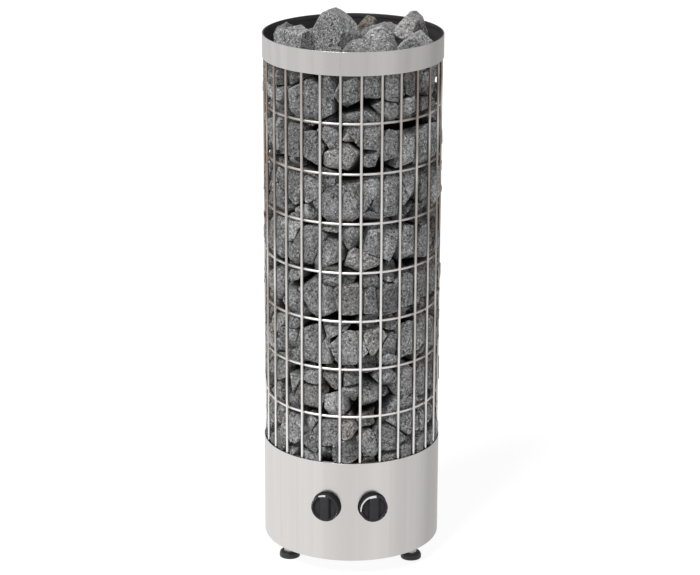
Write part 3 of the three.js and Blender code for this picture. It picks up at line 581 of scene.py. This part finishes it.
def geometry_tree(name, inputs):
    """An empty geometry tree with named inputs; its maker and its input fields."""
    tree = bpy.data.node_groups.new(name, "GeometryNodeTree")
    tree.is_modifier = True
    ids = {}
    for label, kind, value in inputs:
        socket = tree.interface.new_socket(label, in_out="INPUT", socket_type=kind)
        ids[label] = (socket.identifier, value)
    tree.interface.new_socket("Geometry", in_out="OUTPUT", socket_type="NodeSocketGeometry")
    maker = Maker(tree)
    fields = {label: maker.add("NodeGroupInput", out=label) for label, _, _ in inputs}
    return tree, maker, fields, ids


def end_tree(maker, geometry, look):
    """Realizes what was instanced, sets its material and ends the tree."""
    real = maker.add("GeometryNodeRealizeInstances", None, {0: geometry})
    worn = maker.add("GeometryNodeSetMaterial", None, {"Geometry": real, "Material": look})
    maker.add("NodeGroupOutput", None, {"Geometry": worn})


def grown(tree, ids):
    """The mesh that a geometry tree makes from its inputs."""
    obj = bpy.data.objects.new("grown", bpy.data.meshes.new("seed"))
    bpy.context.scene.collection.objects.link(obj)
    step = obj.modifiers.new("grow", "NODES")
    step.node_group = tree
    for identifier, value in ids.values():
        step[identifier] = value
    bpy.context.view_layer.update()
    mesh = baked(obj)
    if not len(mesh.polygons):
        raise RuntimeError("a node tree made nothing: " + tree.name)
    return mesh


def ring_nodes(m, f):
    """One hoop of round wire."""
    path = m.add("GeometryNodeCurvePrimitiveCircle", None,
                 {"Resolution": RING_STEPS, "Radius": f["Ring circle"]})
    section = m.add("GeometryNodeCurvePrimitiveCircle", None,
                    {"Resolution": RING_SIDES, "Radius": f["Wire radius"]})
    return m.add("GeometryNodeCurveToMesh", None, {"Curve": path, "Profile Curve": section})


def half_step(sizes):
    """Turn that leaves the front in the middle between two uprights."""
    return math.pi / sizes.upright_count - math.pi / 2


class HEATER_OT_cage(bpy.types.Operator):
    """Grow the upright wires, the rings and their weld spots"""
    bl_idname = "heater.cage"
    bl_label = "Stone cage"

    def uprights(self, sizes, look):
        low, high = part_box("cage_uprights")
        tree, m, f, ids = geometry_tree("heater_uprights", [
            ("Count", "NodeSocketInt", sizes.upright_count),
            ("Circle", "NodeSocketFloat", sizes.upright_circle),
            ("Ring circle", "NodeSocketFloat", sizes.ring_circle),
            ("Wire radius", "NodeSocketFloat", sizes.wire / 2),
            ("Length", "NodeSocketFloat", high.z - low.z),
            ("Middle", "NodeSocketFloat", (high.z + low.z) / 2),
            ("Low ring", "NodeSocketFloat", sizes.end_ring_low),
            ("High ring", "NodeSocketFloat", sizes.end_ring_high),
            ("Half step", "NodeSocketFloat", half_step(sizes)),
            ("Material", "NodeSocketMaterial", look)])
        circle = m.add("GeometryNodeMeshCircle", None, {"Vertices": f["Count"], "Radius": f["Circle"]})
        turned = m.add("GeometryNodeTransform", None,
                       {"Geometry": circle, "Translation": m.join(0.0, 0.0, f["Middle"]),
                        "Rotation": m.join(0.0, 0.0, f["Half step"])})
        rod = m.add("GeometryNodeMeshCylinder", None,
                    {"Vertices": UPRIGHT_SIDES, "Side Segments": 1,
                     "Radius": f["Wire radius"], "Depth": f["Length"]})
        rods = m.add("GeometryNodeInstanceOnPoints", None, {"Points": turned, "Instance": rod})
        ring = ring_nodes(m, f)
        ends = m.add("GeometryNodeMeshLine", {"mode": "END_POINTS"},
                     {"Count": 2, "Start Location": m.join(0.0, 0.0, f["Low ring"]),
                      "Offset": m.join(0.0, 0.0, f["High ring"])})
        hoops = m.add("GeometryNodeInstanceOnPoints", None, {"Points": ends, "Instance": ring})
        both = m.add("GeometryNodeJoinGeometry", None, {0: [rods, hoops]})
        end_tree(m, both, f["Material"])
        return grown(tree, ids)

    def rings(self, sizes, look):
        levels = [level_of(n) for n in RINGS]
        weld = (sizes.upright_circle + sizes.ring_circle) / 2
        tree, m, f, ids = geometry_tree("heater_rings", [
            ("Count", "NodeSocketInt", len(RINGS)),
            ("Uprights", "NodeSocketInt", sizes.upright_count),
            ("Ring circle", "NodeSocketFloat", sizes.ring_circle),
            ("Weld circle", "NodeSocketFloat", weld),
            ("Wire radius", "NodeSocketFloat", sizes.wire / 2),
            ("First", "NodeSocketFloat", levels[0]),
            ("Last", "NodeSocketFloat", levels[-1]),
            ("Half step", "NodeSocketFloat", half_step(sizes)),
            ("Material", "NodeSocketMaterial", look)])
        ring = ring_nodes(m, f)
        circle = m.add("GeometryNodeMeshCircle", None,
                       {"Vertices": f["Uprights"], "Radius": f["Weld circle"]})
        turned = m.add("GeometryNodeTransform", None,
                       {"Geometry": circle, "Rotation": m.join(0.0, 0.0, f["Half step"])})
        bead = m.add("GeometryNodeMeshIcoSphere", None,
                     {"Radius": f["Wire radius"] * BEAD_SWELL, "Subdivisions": 2})
        beads = m.add("GeometryNodeInstanceOnPoints", None, {"Points": turned, "Instance": bead})
        both = m.add("GeometryNodeJoinGeometry", None, {0: [ring, beads]})
        line = m.add("GeometryNodeMeshLine", {"mode": "END_POINTS"},
                     {"Count": f["Count"], "Start Location": m.join(0.0, 0.0, f["First"]),
                      "Offset": m.join(0.0, 0.0, f["Last"])})
        hoops = m.add("GeometryNodeInstanceOnPoints", None, {"Points": line, "Instance": both})
        end_tree(m, hoops, f["Material"])
        return grown(tree, ids)

    def execute(self, context):
        sizes = context.scene.heater_sizes
        look = wire_material(context.scene.heater_finish)
        add_object("cage_wires", smooth(self.uprights(sizes, look)), "heater",
                   ["cage_uprights"], look)
        add_object("cage_hoops", smooth(self.rings(sizes, look), 60.0), "heater", RINGS, look)
        return {"FINISHED"}


# Stones

STONE_SEED = 73
SMALL_STONE = 0.034
FRONT_STONE = -0.050
STONE_CREASE = 34.0
LEAST_STONES = 12

# Finding the stones of a tier
SPLIT_ANGLE = -0.03
CORE_RADIUS = 0.112
LEAST_FACES = 5
SAME_FACET = 0.992
LEAST_REACH = 0.004

# Breaking a stone
HULL_POWER = 60.0
HULL_SLACK = 1.20
FACETS_APART = 0.76
FACET_SINK = 0.99
CHIP_DEPTH = (0.82, 0.95)
BREAK_POWER = (70.0, 140.0)
EDGE_FIND_POWER = 14.0
EDGE_SPAN = (0.02, 0.07)
SKIN = ((38.0, 1.0), (95.0, 0.60), (230.0, 0.42))

# Holding a stone behind the wires
RING_CLEAR = (0.004, 0.016)
UPRIGHT_CLEAR = (0.0025, 0.010)
SWELL_FROM = 0.112
SWELL_OVER = 0.028
WIRE_LIMIT = 0.1432
BULGE = 0.0042
MESH_BULGE = 0.0062

# Tones of the stones, with their painted shade and light
CORE_SHADE = 0.05
FACET_SHADE = (0.70, 1.26)
EDGE_HIGHLIGHT = 0.45
TIER_TONE = (0.80, 1.30)
TIER_WARM = (-0.12, 0.16)
CROWN_TONE_AND_LIGHT = (1.35, 1.75)
CROWN_WARM = (-0.10, 0.14)
BROWN_STONE = "crown_stone_4"
BROWN_TONE, BROWN_WARM = 0.80, 0.9
DEEP_RADII = (0.115, 0.143)
DEEP_SHADE = 0.12


def parted(node):
    """The corners of each stone of a tier, and the mesh of the core they sit on."""
    bm = bmesh.new()
    bm.from_mesh(frame["nodes"][node].data)
    bmesh.ops.remove_doubles(bm, verts=bm.verts, dist=1e-5)
    seen, stones, core = set(), [], []
    for face in bm.faces:
        if face in seen:
            continue
        seen.add(face)
        group, todo = [], [face]
        while todo:
            here = todo.pop()
            group.append(here)
            for edge in here.edges:
                if len(edge.link_faces) != 2 or edge.calc_face_angle_signed(0.0) < SPLIT_ANGLE:
                    continue
                for other in edge.link_faces:
                    if other not in seen:
                        seen.add(other)
                        todo.append(other)
        points = np.array([v.co for v in dict.fromkeys(v for f in group for v in f.verts)])
        reach = np.hypot(points[:, 0], points[:, 1])
        if reach.max() < CORE_RADIUS or len(group) < LEAST_FACES:
            core += group
        else:
            stones.append(points)
    keep = set(core)
    bmesh.ops.delete(bm, geom=[f for f in bm.faces if f not in keep], context="FACES")
    mesh = bpy.data.meshes.new("core")
    bm.to_mesh(mesh)
    bm.free()
    return stones, mesh


def planes_of(points):
    """Middle of a hull, and the outward planes of its faces from that middle."""
    bm = bmesh.new()
    for p in points:
        bm.verts.new(p)
    bmesh.ops.convex_hull(bm, input=bm.verts)
    bmesh.ops.delete(bm, geom=[v for v in bm.verts if not v.link_faces], context="VERTS")
    middle = sum((v.co for v in bm.verts), Vector()) / len(bm.verts)
    planes = []
    for face in bm.faces:
        if face.calc_area() < 1e-8:
            continue
        normal = face.normal.copy()
        away = normal.dot(face.verts[0].co - middle)
        if away < 0:
            normal, away = -normal, -away
        if all(normal.dot(n) < SAME_FACET for _, n, _ in planes):
            planes.append((face.calc_area(), normal, max(away, LEAST_REACH)))
    bm.free()
    planes.sort(key=lambda p: -p[0])
    return np.array(middle), np.array([n for _, n, _ in planes]), np.array([a for _, _, a in planes])


def reach_of(sphere, normals, away, power):
    """How far each direction goes before the planes stop it; a low power softens the edges."""
    rate = np.maximum(sphere.dot(normals.T) / away[None, :], 0.0)
    return (rate ** power).sum(axis=1) ** (-1.0 / power)


def ball(detail):
    """Directions and faces of a fine sphere."""
    bm = bmesh.new()
    bmesh.ops.create_icosphere(bm, subdivisions=detail, radius=1.0)
    points = np.array([v.co for v in bm.verts])
    faces = np.array([[v.index for v in f.verts] for f in bm.faces])
    bm.free()
    return points / np.linalg.norm(points, axis=1)[:, None], faces


def eased(values, low, high):
    """From 0 at low to 1 at high, smooth and clamped."""
    t = np.clip((values - low) / (high - low), 0.0, 1.0)
    return t * t * (3 - 2 * t)


def rough_stone(points, sphere, depth, rng, chips=2):
    """A split stone from its hull, with extra breaks and a grainy skin, and the painted shading of each
    point: a random tone per facet and a painted highlight on the edges.
    """
    middle, normals, away = planes_of(points)
    most = reach_of(sphere, normals, away, HULL_POWER) * HULL_SLACK
    kept = []
    for i, n in enumerate(normals):
        if all(n.dot(normals[k]) < FACETS_APART for k in kept):
            kept.append(i)
    normals, away = normals[kept], away[kept] * FACET_SINK
    for _ in range(chips):
        n = np.array([rng.gauss(0, 1) for _ in range(3)])
        n /= np.linalg.norm(n)
        support = (points - middle).dot(n).max()
        normals, away = np.vstack([normals, n]), np.append(away, support * rng.uniform(*CHIP_DEPTH))
    reach = np.minimum(reach_of(sphere, normals, away, rng.uniform(*BREAK_POWER)), most)
    # Painted highlight: the edges of the stone, found from a softened copy of it, are lightened.
    edge = eased(1.0 - reach_of(sphere, normals, away, EDGE_FIND_POWER) / reach, *EDGE_SPAN)
    # Each facet gets its own random tone, painted to stand in for facets turned differently to the light.
    facet = np.argmax(sphere.dot(normals.T) / away[None, :], axis=1)
    shade = np.array([rng.uniform(*FACET_SHADE) for _ in normals])[facet] * (1.0 + EDGE_HIGHLIGHT * edge)
    shift = Vector((rng.uniform(-5, 5), rng.uniform(-5, 5), rng.uniform(-5, 5)))
    skin = np.empty(len(reach))
    for i, p in enumerate(sphere * reach[:, None]):
        at = Vector(p)
        skin[i] = sum(share * noise.noise(at * scale + shift) for scale, share in SKIN)
    reach = reach + depth * skin
    return middle + sphere * reach[:, None], shade


def settled(points, levels, count, swell):
    """Lets a stone bulge through the mesh of the cage, and holds it behind the wires."""
    radius = np.hypot(points[:, 0], points[:, 1])
    gap = np.min(np.abs(points[:, 2][:, None] - levels[None, :]), axis=1)
    free = eased(gap, *RING_CLEAR)
    step = np.arctan2(points[:, 0], -points[:, 1]) * count / (2 * np.pi)
    beside = np.abs(step % 1.0 - 0.5) * (2 * np.pi / count) * radius
    push = swell * free * np.clip((radius - SWELL_FROM) / SWELL_OVER, 0.0, 1.0)
    most = WIRE_LIMIT + free * (BULGE + MESH_BULGE * eased(beside, *UPRIGHT_CLEAR))
    wanted = np.minimum(radius + push, most)
    points = points.copy()
    points[:, :2] *= (wanted / radius)[:, None]
    return points


def stone_mesh(stones, core=None):
    """One mesh of stones with their tones and painted shading, and the core behind them painted dark as
    shade.
    """
    points, polys, tones_and_shade, warms = [], [], [], []
    for shape, faces, tone, warm in stones:
        polys += [tuple(f) for f in faces + len(points)]
        points += [tuple(p) for p in shape]
        tones_and_shade += list(tone)
        warms += [warm] * len(shape)
    if core is not None:
        polys += [tuple(v + len(points) for v in p.vertices) for p in core.polygons]
        points += [tuple(v.co) for v in core.vertices]
        # The core is painted near black as the shade in the gaps between the stones.
        tones_and_shade += [CORE_SHADE] * len(core.vertices)
        warms += [0.0] * len(core.vertices)
    mesh = bpy.data.meshes.new("stones")
    mesh.from_pydata(points, [], polys)
    for name, values in (("tone", tones_and_shade), ("warm", warms)):
        mesh.attributes.new(name, "FLOAT", "POINT").data.foreach_set("value", values)
    mesh.update()
    return mesh


class HEATER_OT_stones(bpy.types.Operator):
    """Break every stone of the tiers and the crown"""
    bl_idname = "heater.stones"
    bl_label = "Stones"

    def execute(self, context):
        sizes = context.scene.heater_sizes
        look = stone_material(context.scene.heater_finish)
        levels = np.array([level_of(n) for n in RINGS])
        finest, fine, coarse = (ball(detail) for detail in (5, 4, 3))
        rng = random.Random(STONE_SEED)
        for node in TIERS:
            found, core = parted(node)
            if len(found) < LEAST_STONES:
                raise RuntimeError("too few stones in " + node)
            made = []
            for points in found:
                sphere, faces = (finest if points.mean(axis=0)[1] < FRONT_STONE else
                                 fine if np.ptp(points[:, 2]) > SMALL_STONE else coarse)
                shape, shade = rough_stone(points, sphere, sizes.stone_grain, rng)
                shape = settled(shape, levels, sizes.upright_count, sizes.stone_swell)
                # Painted shade: each stone darkens towards the core, into the deep gaps between stones.
                depth = eased(np.hypot(shape[:, 0], shape[:, 1]), *DEEP_RADII)
                shade = shade * (DEEP_SHADE + (1.0 - DEEP_SHADE) * depth)
                made.append((shape, faces, rng.uniform(*TIER_TONE) * shade, max(0.0, rng.gauss(*TIER_WARM))))
            add_object(node.replace("stone_tier", "stones"), smooth(stone_mesh(made, core), STONE_CREASE),
                       "heater", [node], look)
        sphere, faces = finest
        for node in CROWN:
            points = np.array([v.co for v in frame["nodes"][node].data.vertices])
            shape, shade = rough_stone(points, sphere, sizes.stone_grain, rng)
            # Crown stones are painted lighter than the tier stones, as light falling on them from above,
            # over a random tone.
            tone, warm = rng.uniform(*CROWN_TONE_AND_LIGHT), max(0.0, rng.gauss(*CROWN_WARM))
            if node == BROWN_STONE:
                tone, warm = BROWN_TONE, BROWN_WARM
            add_object(node.replace("crown_stone", "top_stone"),
                       smooth(stone_mesh([(shape, faces, tone * shade, warm)]), STONE_CREASE),
                       "heater", [node], look)
        return {"FINISHED"}


# Knobs

KNOB_STEPS = 112
KNOB_BACK = [(0.0, 0.002), (0.0033, 0.002), (0.0033, -0.005), (0.0236, -0.005), (0.0245, -0.0042)]
KNOB_DISH = [(0.0212, 0.0139), (0.0203, 0.0130), (0.0196, 0.0104), (0.0188, 0.0096), (0.0, 0.0094)]
RIM_MIDDLE = (0.0225, 0.0120)
RIM_ROUND = 0.002
GRIP_HALF = 0.0095
GRIP_TOP = 0.0170
GRIP_ROUND = 0.0016
GRIP_REACH = 0.026
GRIP_OUTLINE = [(0.0, 0.0), (0.0234, 0.0), (0.0232, 0.0095), (0.0229, 0.0140), (0.0222, 0.0160),
                (0.0205, 0.0169), (0.0, 0.0171)]
GRIP_BEVEL = 0.0005
KNOB_GLOSS = 0.14


class HEATER_OT_knobs(bpy.types.Operator):
    """Build the timer and thermostat knobs with their printed scales"""
    bl_idname = "heater.knobs"
    bl_label = "Knobs"

    def shape(self):
        rim = [(RIM_MIDDLE[0] + RIM_ROUND * math.cos(t), RIM_MIDDLE[1] + RIM_ROUND * math.sin(t))
               for t in angles(0, 91, 15)]
        skirt = lathe(KNOB_BACK + rim + KNOB_DISH, KNOB_STEPS)
        half = GRIP_HALF
        section = [(-half - 0.0006, 0.0080), (half + 0.0006, 0.0080), (half, 0.0105), (half * 0.88, 0.0132),
                   (half * 0.78, 0.0154)]
        section += [(half * (0.46 + 0.28 * math.cos(t)), GRIP_TOP - GRIP_ROUND + GRIP_ROUND * math.sin(t))
                    for t in angles(15, 91, 15)]
        section += [(-x, s) for x, s in reversed(section[2:])]
        bm = bmesh.new()
        low = [bm.verts.new((x, -GRIP_REACH, s)) for x, s in section]
        high = [bm.verts.new((x, GRIP_REACH, s)) for x, s in section]
        bm.faces.new(low)
        bm.faces.new(list(reversed(high)))
        for i in range(len(section)):
            j = (i + 1) % len(section)
            bm.faces.new((low[j], low[i], high[i], high[j]))
        bmesh.ops.recalc_face_normals(bm, faces=bm.faces)
        bar = bpy.data.meshes.new("bar")
        bm.to_mesh(bar)
        bm.free()
        grip = combined(bar, [lathe(GRIP_OUTLINE, KNOB_STEPS)], "INTERSECT")
        if len(grip.polygons) < 20:
            raise RuntimeError("the grip lost its faces")
        obj = bpy.data.objects.new("soft", joined(grip))
        bpy.context.scene.collection.objects.link(obj)
        edge = obj.modifiers.new("edge", "BEVEL")
        edge.width, edge.segments = GRIP_BEVEL, 2
        edge.limit_method, edge.angle_limit = "ANGLE", math.radians(40)
        bpy.context.view_layer.update()
        return joined(skirt, baked(obj))

    def execute(self, context):
        sizes, finish = context.scene.heater_sizes, context.scene.heater_finish
        for name, side in CONTROLS:
            mesh = self.shape()
            local = [c for v in mesh.vertices for c in v.co]
            mesh.attributes.new("dial", "FLOAT_VECTOR", "POINT").data.foreach_set("vector", local)
            mesh.transform(control_place(sizes, name, side))
            add_object(name + "_dial_knob", smooth(mesh, 38.0), name + "_dial",
                       [name + "_knob"], plastic_material(finish, name + "_plastic", name, KNOB_GLOSS))
        return {"FINISHED"}


# Feet

PAD_STEPS = 72
STEM_STEPS = 48
CUP_RADIUS = 0.0101
CUP_DEPTH = 0.004
COLLAR_RISE = 0.0025
THREAD_RISE = 0.0032
THREAD_STEP = 0.0015
THREAD_CREST = 0.0050
THREAD_ROOT = 0.00425
THREAD_FLAT = 0.0002


class HEATER_OT_feet(bpy.types.Operator):
    """Build the foot pads and the threaded stems"""
    bl_idname = "heater.feet"
    bl_label = "Feet"

    def execute(self, context):
        finish = context.scene.heater_finish
        pad_look = plastic_material(finish, "foot_plastic")
        stem_look = worn_metal("stem_zinc", (0.74, 0.75, 0.76), (0.90, 0.90, 0.89), 0.34, 90.0)
        for i in FEET:
            low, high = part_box("foot_pad_%d" % i)
            middle = Matrix.Translation(((low.x + high.x) / 2, (low.y + high.y) / 2, 0.0))
            wide, tall = (high.x - low.x) / 2, high.z
            bowl = [(wide * math.cos(t) ** 0.8 * 0.27 + wide * 0.73, tall * 0.36 + tall * 0.64 * math.sin(t))
                    for t in angles(0, 90, 9)]
            pad = [(0.0, 0.0), (wide - 0.0012, 0.0), (wide - 0.0003, 0.0004), (wide, 0.0014)] + bowl
            pad += [(wide * 0.72, tall), (CUP_RADIUS, tall), (CUP_RADIUS, tall - CUP_DEPTH),
                    (0.0, tall - CUP_DEPTH)]
            mesh = lathe(pad, PAD_STEPS)
            mesh.transform(middle)
            add_object("foot_%d_pad" % i, smooth(mesh, 40.0), "foot_%d" % i,
                       ["foot_pad_%d" % i], pad_look)
            base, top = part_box("foot_stem_%d" % i)
            wide = (top.x - base.x) / 2
            stem = [(0.0, base.z), (wide - 0.0005, base.z), (wide, base.z + 0.0005), (wide, tall + 0.0018),
                    (wide - 0.0007, tall + COLLAR_RISE), (THREAD_CREST, tall + COLLAR_RISE)]
            z = tall + THREAD_RISE
            while z < top.z - 0.002:
                root = z + THREAD_STEP / 2
                stem += [(THREAD_CREST, z), (THREAD_CREST, z + THREAD_FLAT)]
                stem += [(THREAD_ROOT, root), (THREAD_ROOT, root + THREAD_FLAT)]
                z += THREAD_STEP
            stem += [(0.0043, top.z), (0.0, top.z)]
            mesh = lathe(stem, STEM_STEPS)
            mesh.transform(middle)
            add_object("foot_%d_stem" % i, smooth(mesh, 30.0), "foot_%d" % i,
                       ["foot_stem_%d" % i], stem_look)
        return {"FINISHED"}


# Pieces that keep their frame shape

class HEATER_OT_fittings(bpy.types.Operator):
    """Finish the plates, elements, controls and fixings"""
    bl_idname = "heater.fittings"
    bl_label = "Fittings"

    def execute(self, context):
        finish = context.scene.heater_finish
        zinc = worn_metal("zinc_sheet", (0.40, 0.41, 0.42), (0.62, 0.62, 0.61), 0.42, 70.0)
        # The stone floor inside the casing is painted dark as shade.
        painted_shade = worn_metal("sooty_plate", (0.030, 0.028, 0.027), (0.075, 0.070, 0.066), 0.6, 70.0, 0.4)
        alloy = worn_metal("element_oxide", (0.075, 0.066, 0.055), (0.16, 0.135, 0.11), 0.55, 120.0)
        pale = worn_metal("pale_ceramic", (0.62, 0.60, 0.54), (0.74, 0.72, 0.66), 0.5, 60.0, 0.0)
        brass = worn_metal("brass", (0.52, 0.36, 0.14), (0.68, 0.50, 0.23), 0.32, 80.0)
        red = worn_metal("red_plastic", (0.42, 0.02, 0.02), (0.55, 0.035, 0.03), 0.4, 200.0, 0.0)
        black = plastic_material(finish, "fitting_plastic")
        screw = worn_metal("screw_steel", (0.50, 0.49, 0.48), (0.70, 0.69, 0.67), 0.3, 150.0)
        looks = {"base_plate": zinc, "stone_floor": painted_shade, "heat_shield": zinc, "element_plate": zinc,
                 "control_bracket": zinc, "casing_screw": screw, "foot_nut": screw, "heating_element": alloy,
                 "timer_body": pale, "thermostat_body": pale, "terminal_block": pale, "timer_shaft": brass,
                 "thermostat_shaft": brass, "thermostat_sensor": brass, "overheat_cutout": black,
                 "cable_gland": black, "gland_lock_nut": black, "gland_cap": black, "reset_button": red}
        for name, node in frame["nodes"].items():
            for start, look in looks.items():
                if name == start or name.rstrip("0123456789").rstrip("_") == start:
                    if not node.material_slots:
                        raise RuntimeError("no material slot on " + name)
                    for slot in node.material_slots:
                        slot.material = look
        return {"FINISHED"}


# Stage

FLOOR_SIZE = 30.0
FLOOR_GLOW = 0.88
SUN_SPREAD = math.radians(20.0)
SUN_FROM = (-0.55, -0.80, 1.30)
SENSOR_WIDTH = 36.0
CAMERA_REACH = 100.0
TENT_RADIUS = 0.42
TENT_HIGH, TENT_LOW = 1.6, -0.4
TENT_POWER = 1.25
TENT_LEVELS = [(-180, 0.85), (-124, 1.04), (-96, 1.20), (-63, 1.16), (-38, 1.20), (-26, 1.12), (-4, 0.985),
               (17, 1.04), (29, 1.10), (40, 1.02), (53, 0.90), (81, 0.87), (106, 0.65), (140, 0.60),
               (180, 0.85)]


class HEATER_OT_stage(bpy.types.Operator):
    """Set the floor, the light tent, the lights and the camera"""
    bl_idname = "heater.stage"
    bl_label = "Stage"

    def floor(self, scene):
        bm = bmesh.new()
        bmesh.ops.create_grid(bm, x_segments=1, y_segments=1, size=FLOOR_SIZE)
        mesh = bpy.data.meshes.new("floor")
        bm.to_mesh(mesh)
        bm.free()
        floor = bpy.data.objects.new("floor", mesh)
        scene.collection.objects.link(floor)
        made, m, shader = material("floor_paper")
        at, _ = m.place()
        tooth = m.noise(at, 900.0, 2.0)
        finish_shader(m, shader, Base_Color=m.mix(tooth, (0.21, 0.21, 0.21), (0.24, 0.24, 0.24)),
                      Roughness=0.95, Emission_Color=(1.0, 1.0, 1.0), Emission_Strength=FLOOR_GLOW,
                      Specular_IOR_Level=0.0)
        mesh.materials.append(made)
        floor.visible_glossy = False

    def tent(self, scene):
        """A screen close round the heater that only reflections see; its level follows the angle."""
        mesh = lathe([(TENT_RADIUS, TENT_HIGH), (TENT_RADIUS, TENT_LOW)], 96)
        tent = bpy.data.objects.new("light_tent", mesh)
        scene.collection.objects.link(tent)
        made = bpy.data.materials.new("tent_light")
        made.use_nodes = True
        made.node_tree.nodes.clear()
        m = Maker(made.node_tree)
        _, (x, y, z) = m.place()
        turn = x.math("ARCTAN2", -y)
        stops = [(0.5 + angle / 360.0, level / TENT_POWER) for angle, level in TENT_LEVELS]
        round_about = m.add("ShaderNodeValToRGB", {"stops": stops}, {0: turn / (2.0 * math.pi) + 0.5})
        reflection_streak = m.noise(m.join(turn * 6.0, 0.0, 2.0), 1.0, 4.0).ramp(0.25, 0.75)
        high = z.ramp(0.2, 0.8)
        level = (1.0 + (reflection_streak - 0.5) * (0.14 + high * 0.22)) * (1.0 - high * 0.22)
        glow = m.add("ShaderNodeEmission", None,
                     {"Color": m.scaled(round_about, level), "Strength": TENT_POWER})
        m.add("ShaderNodeOutputMaterial", None, {"Surface": glow})
        mesh.materials.append(made)
        tent.visible_camera = tent.visible_diffuse = tent.visible_shadow = False
        tent.visible_transmission = tent.visible_volume_scatter = False

    def world(self, scene, ambient):
        world = bpy.data.worlds.new("studio")
        scene.world = world
        world.use_nodes = True
        world.node_tree.nodes.clear()
        m = Maker(world.node_tree)
        camera, gloss, clear = (m.add("ShaderNodeLightPath", out=kind + " Ray")
                                for kind in ("Is Camera", "Is Glossy", "Is Transmission"))
        white = (1.0, 1.0, 1.0, 1.0)
        dim = m.add("ShaderNodeBackground", None, {"Color": white, "Strength": ambient})
        bright = m.add("ShaderNodeBackground", None, {"Color": white, "Strength": 1.0})
        both = m.add("ShaderNodeMixShader", None,
                     {0: (camera + gloss + clear).math("MINIMUM", 1.0), 1: dim, 2: bright})
        m.add("ShaderNodeOutputWorld", None, {"Surface": both})

    def execute(self, context):
        scene, stage = context.scene, context.scene.heater_stage
        self.floor(scene)
        self.tent(scene)
        self.world(scene, stage.ambient)
        sun = bpy.data.lights.new("key", "SUN")
        sun.energy, sun.angle = stage.key, SUN_SPREAD
        key = bpy.data.objects.new("key", sun)
        scene.collection.objects.link(key)
        key.rotation_euler = Vector(SUN_FROM).to_track_quat("Z", "Y").to_euler()
        lens = bpy.data.cameras.new("camera")
        lens.sensor_fit, lens.sensor_width, lens.lens = "HORIZONTAL", SENSOR_WIDTH, stage.lens
        lens.clip_end = CAMERA_REACH
        camera = bpy.data.objects.new("camera", lens)
        scene.collection.objects.link(camera)
        a = stage.azimuth
        camera.matrix_world = (
            Matrix.Translation((stage.distance * math.sin(a), -stage.distance * math.cos(a), stage.height))
            @ Matrix.Rotation(a + stage.heading, 4, "Z") @ Matrix.Rotation(math.pi / 2 - stage.pitch, 4, "X")
            @ Matrix.Rotation(stage.roll, 4, "Z"))
        scene.camera = camera
        scene.view_settings.view_transform = "Standard"
        return {"FINISHED"}


# Add-on

class HEATER_PT_panel(bpy.types.Panel):
    """Sidebar panel of the heater"""
    bl_idname = "HEATER_PT_panel"
    bl_label = "Sauna heater"
    bl_space_type = "VIEW_3D"
    bl_region_type = "UI"
    bl_category = "Heater"

    def draw(self, context):
        for group in (context.scene.heater_sizes, context.scene.heater_finish, context.scene.heater_stage):
            box = self.layout.box()
            for key in group.__annotations__:
                box.prop(group, key)
        for step in STEPS:
            self.layout.operator(step.bl_idname)


STEPS = (HEATER_OT_casing, HEATER_OT_band, HEATER_OT_cage, HEATER_OT_stones, HEATER_OT_knobs,
         HEATER_OT_feet, HEATER_OT_fittings, HEATER_OT_stage)
GROUPS = {"heater_sizes": HeaterSizes, "heater_finish": HeaterFinish, "heater_stage": HeaterStage}


def register():
    for cls in (*GROUPS.values(), *STEPS, HEATER_PT_panel):
        bpy.utils.register_class(cls)
    for name, cls in GROUPS.items():
        setattr(bpy.types.Scene, name, PointerProperty(type=cls))


def unregister():
    for name in GROUPS:
        delattr(bpy.types.Scene, name)
    for cls in (HEATER_PT_panel, *reversed(STEPS), *GROUPS.values()):
        bpy.utils.unregister_class(cls)


def main():
    register()
    for step in STEPS:
        space, call = step.bl_idname.split(".")
        if getattr(getattr(bpy.ops, space), call)() != {"FINISHED"}:
            raise RuntimeError(step.bl_label + " wasn't finished")


if __name__ == "__main__":
    main()
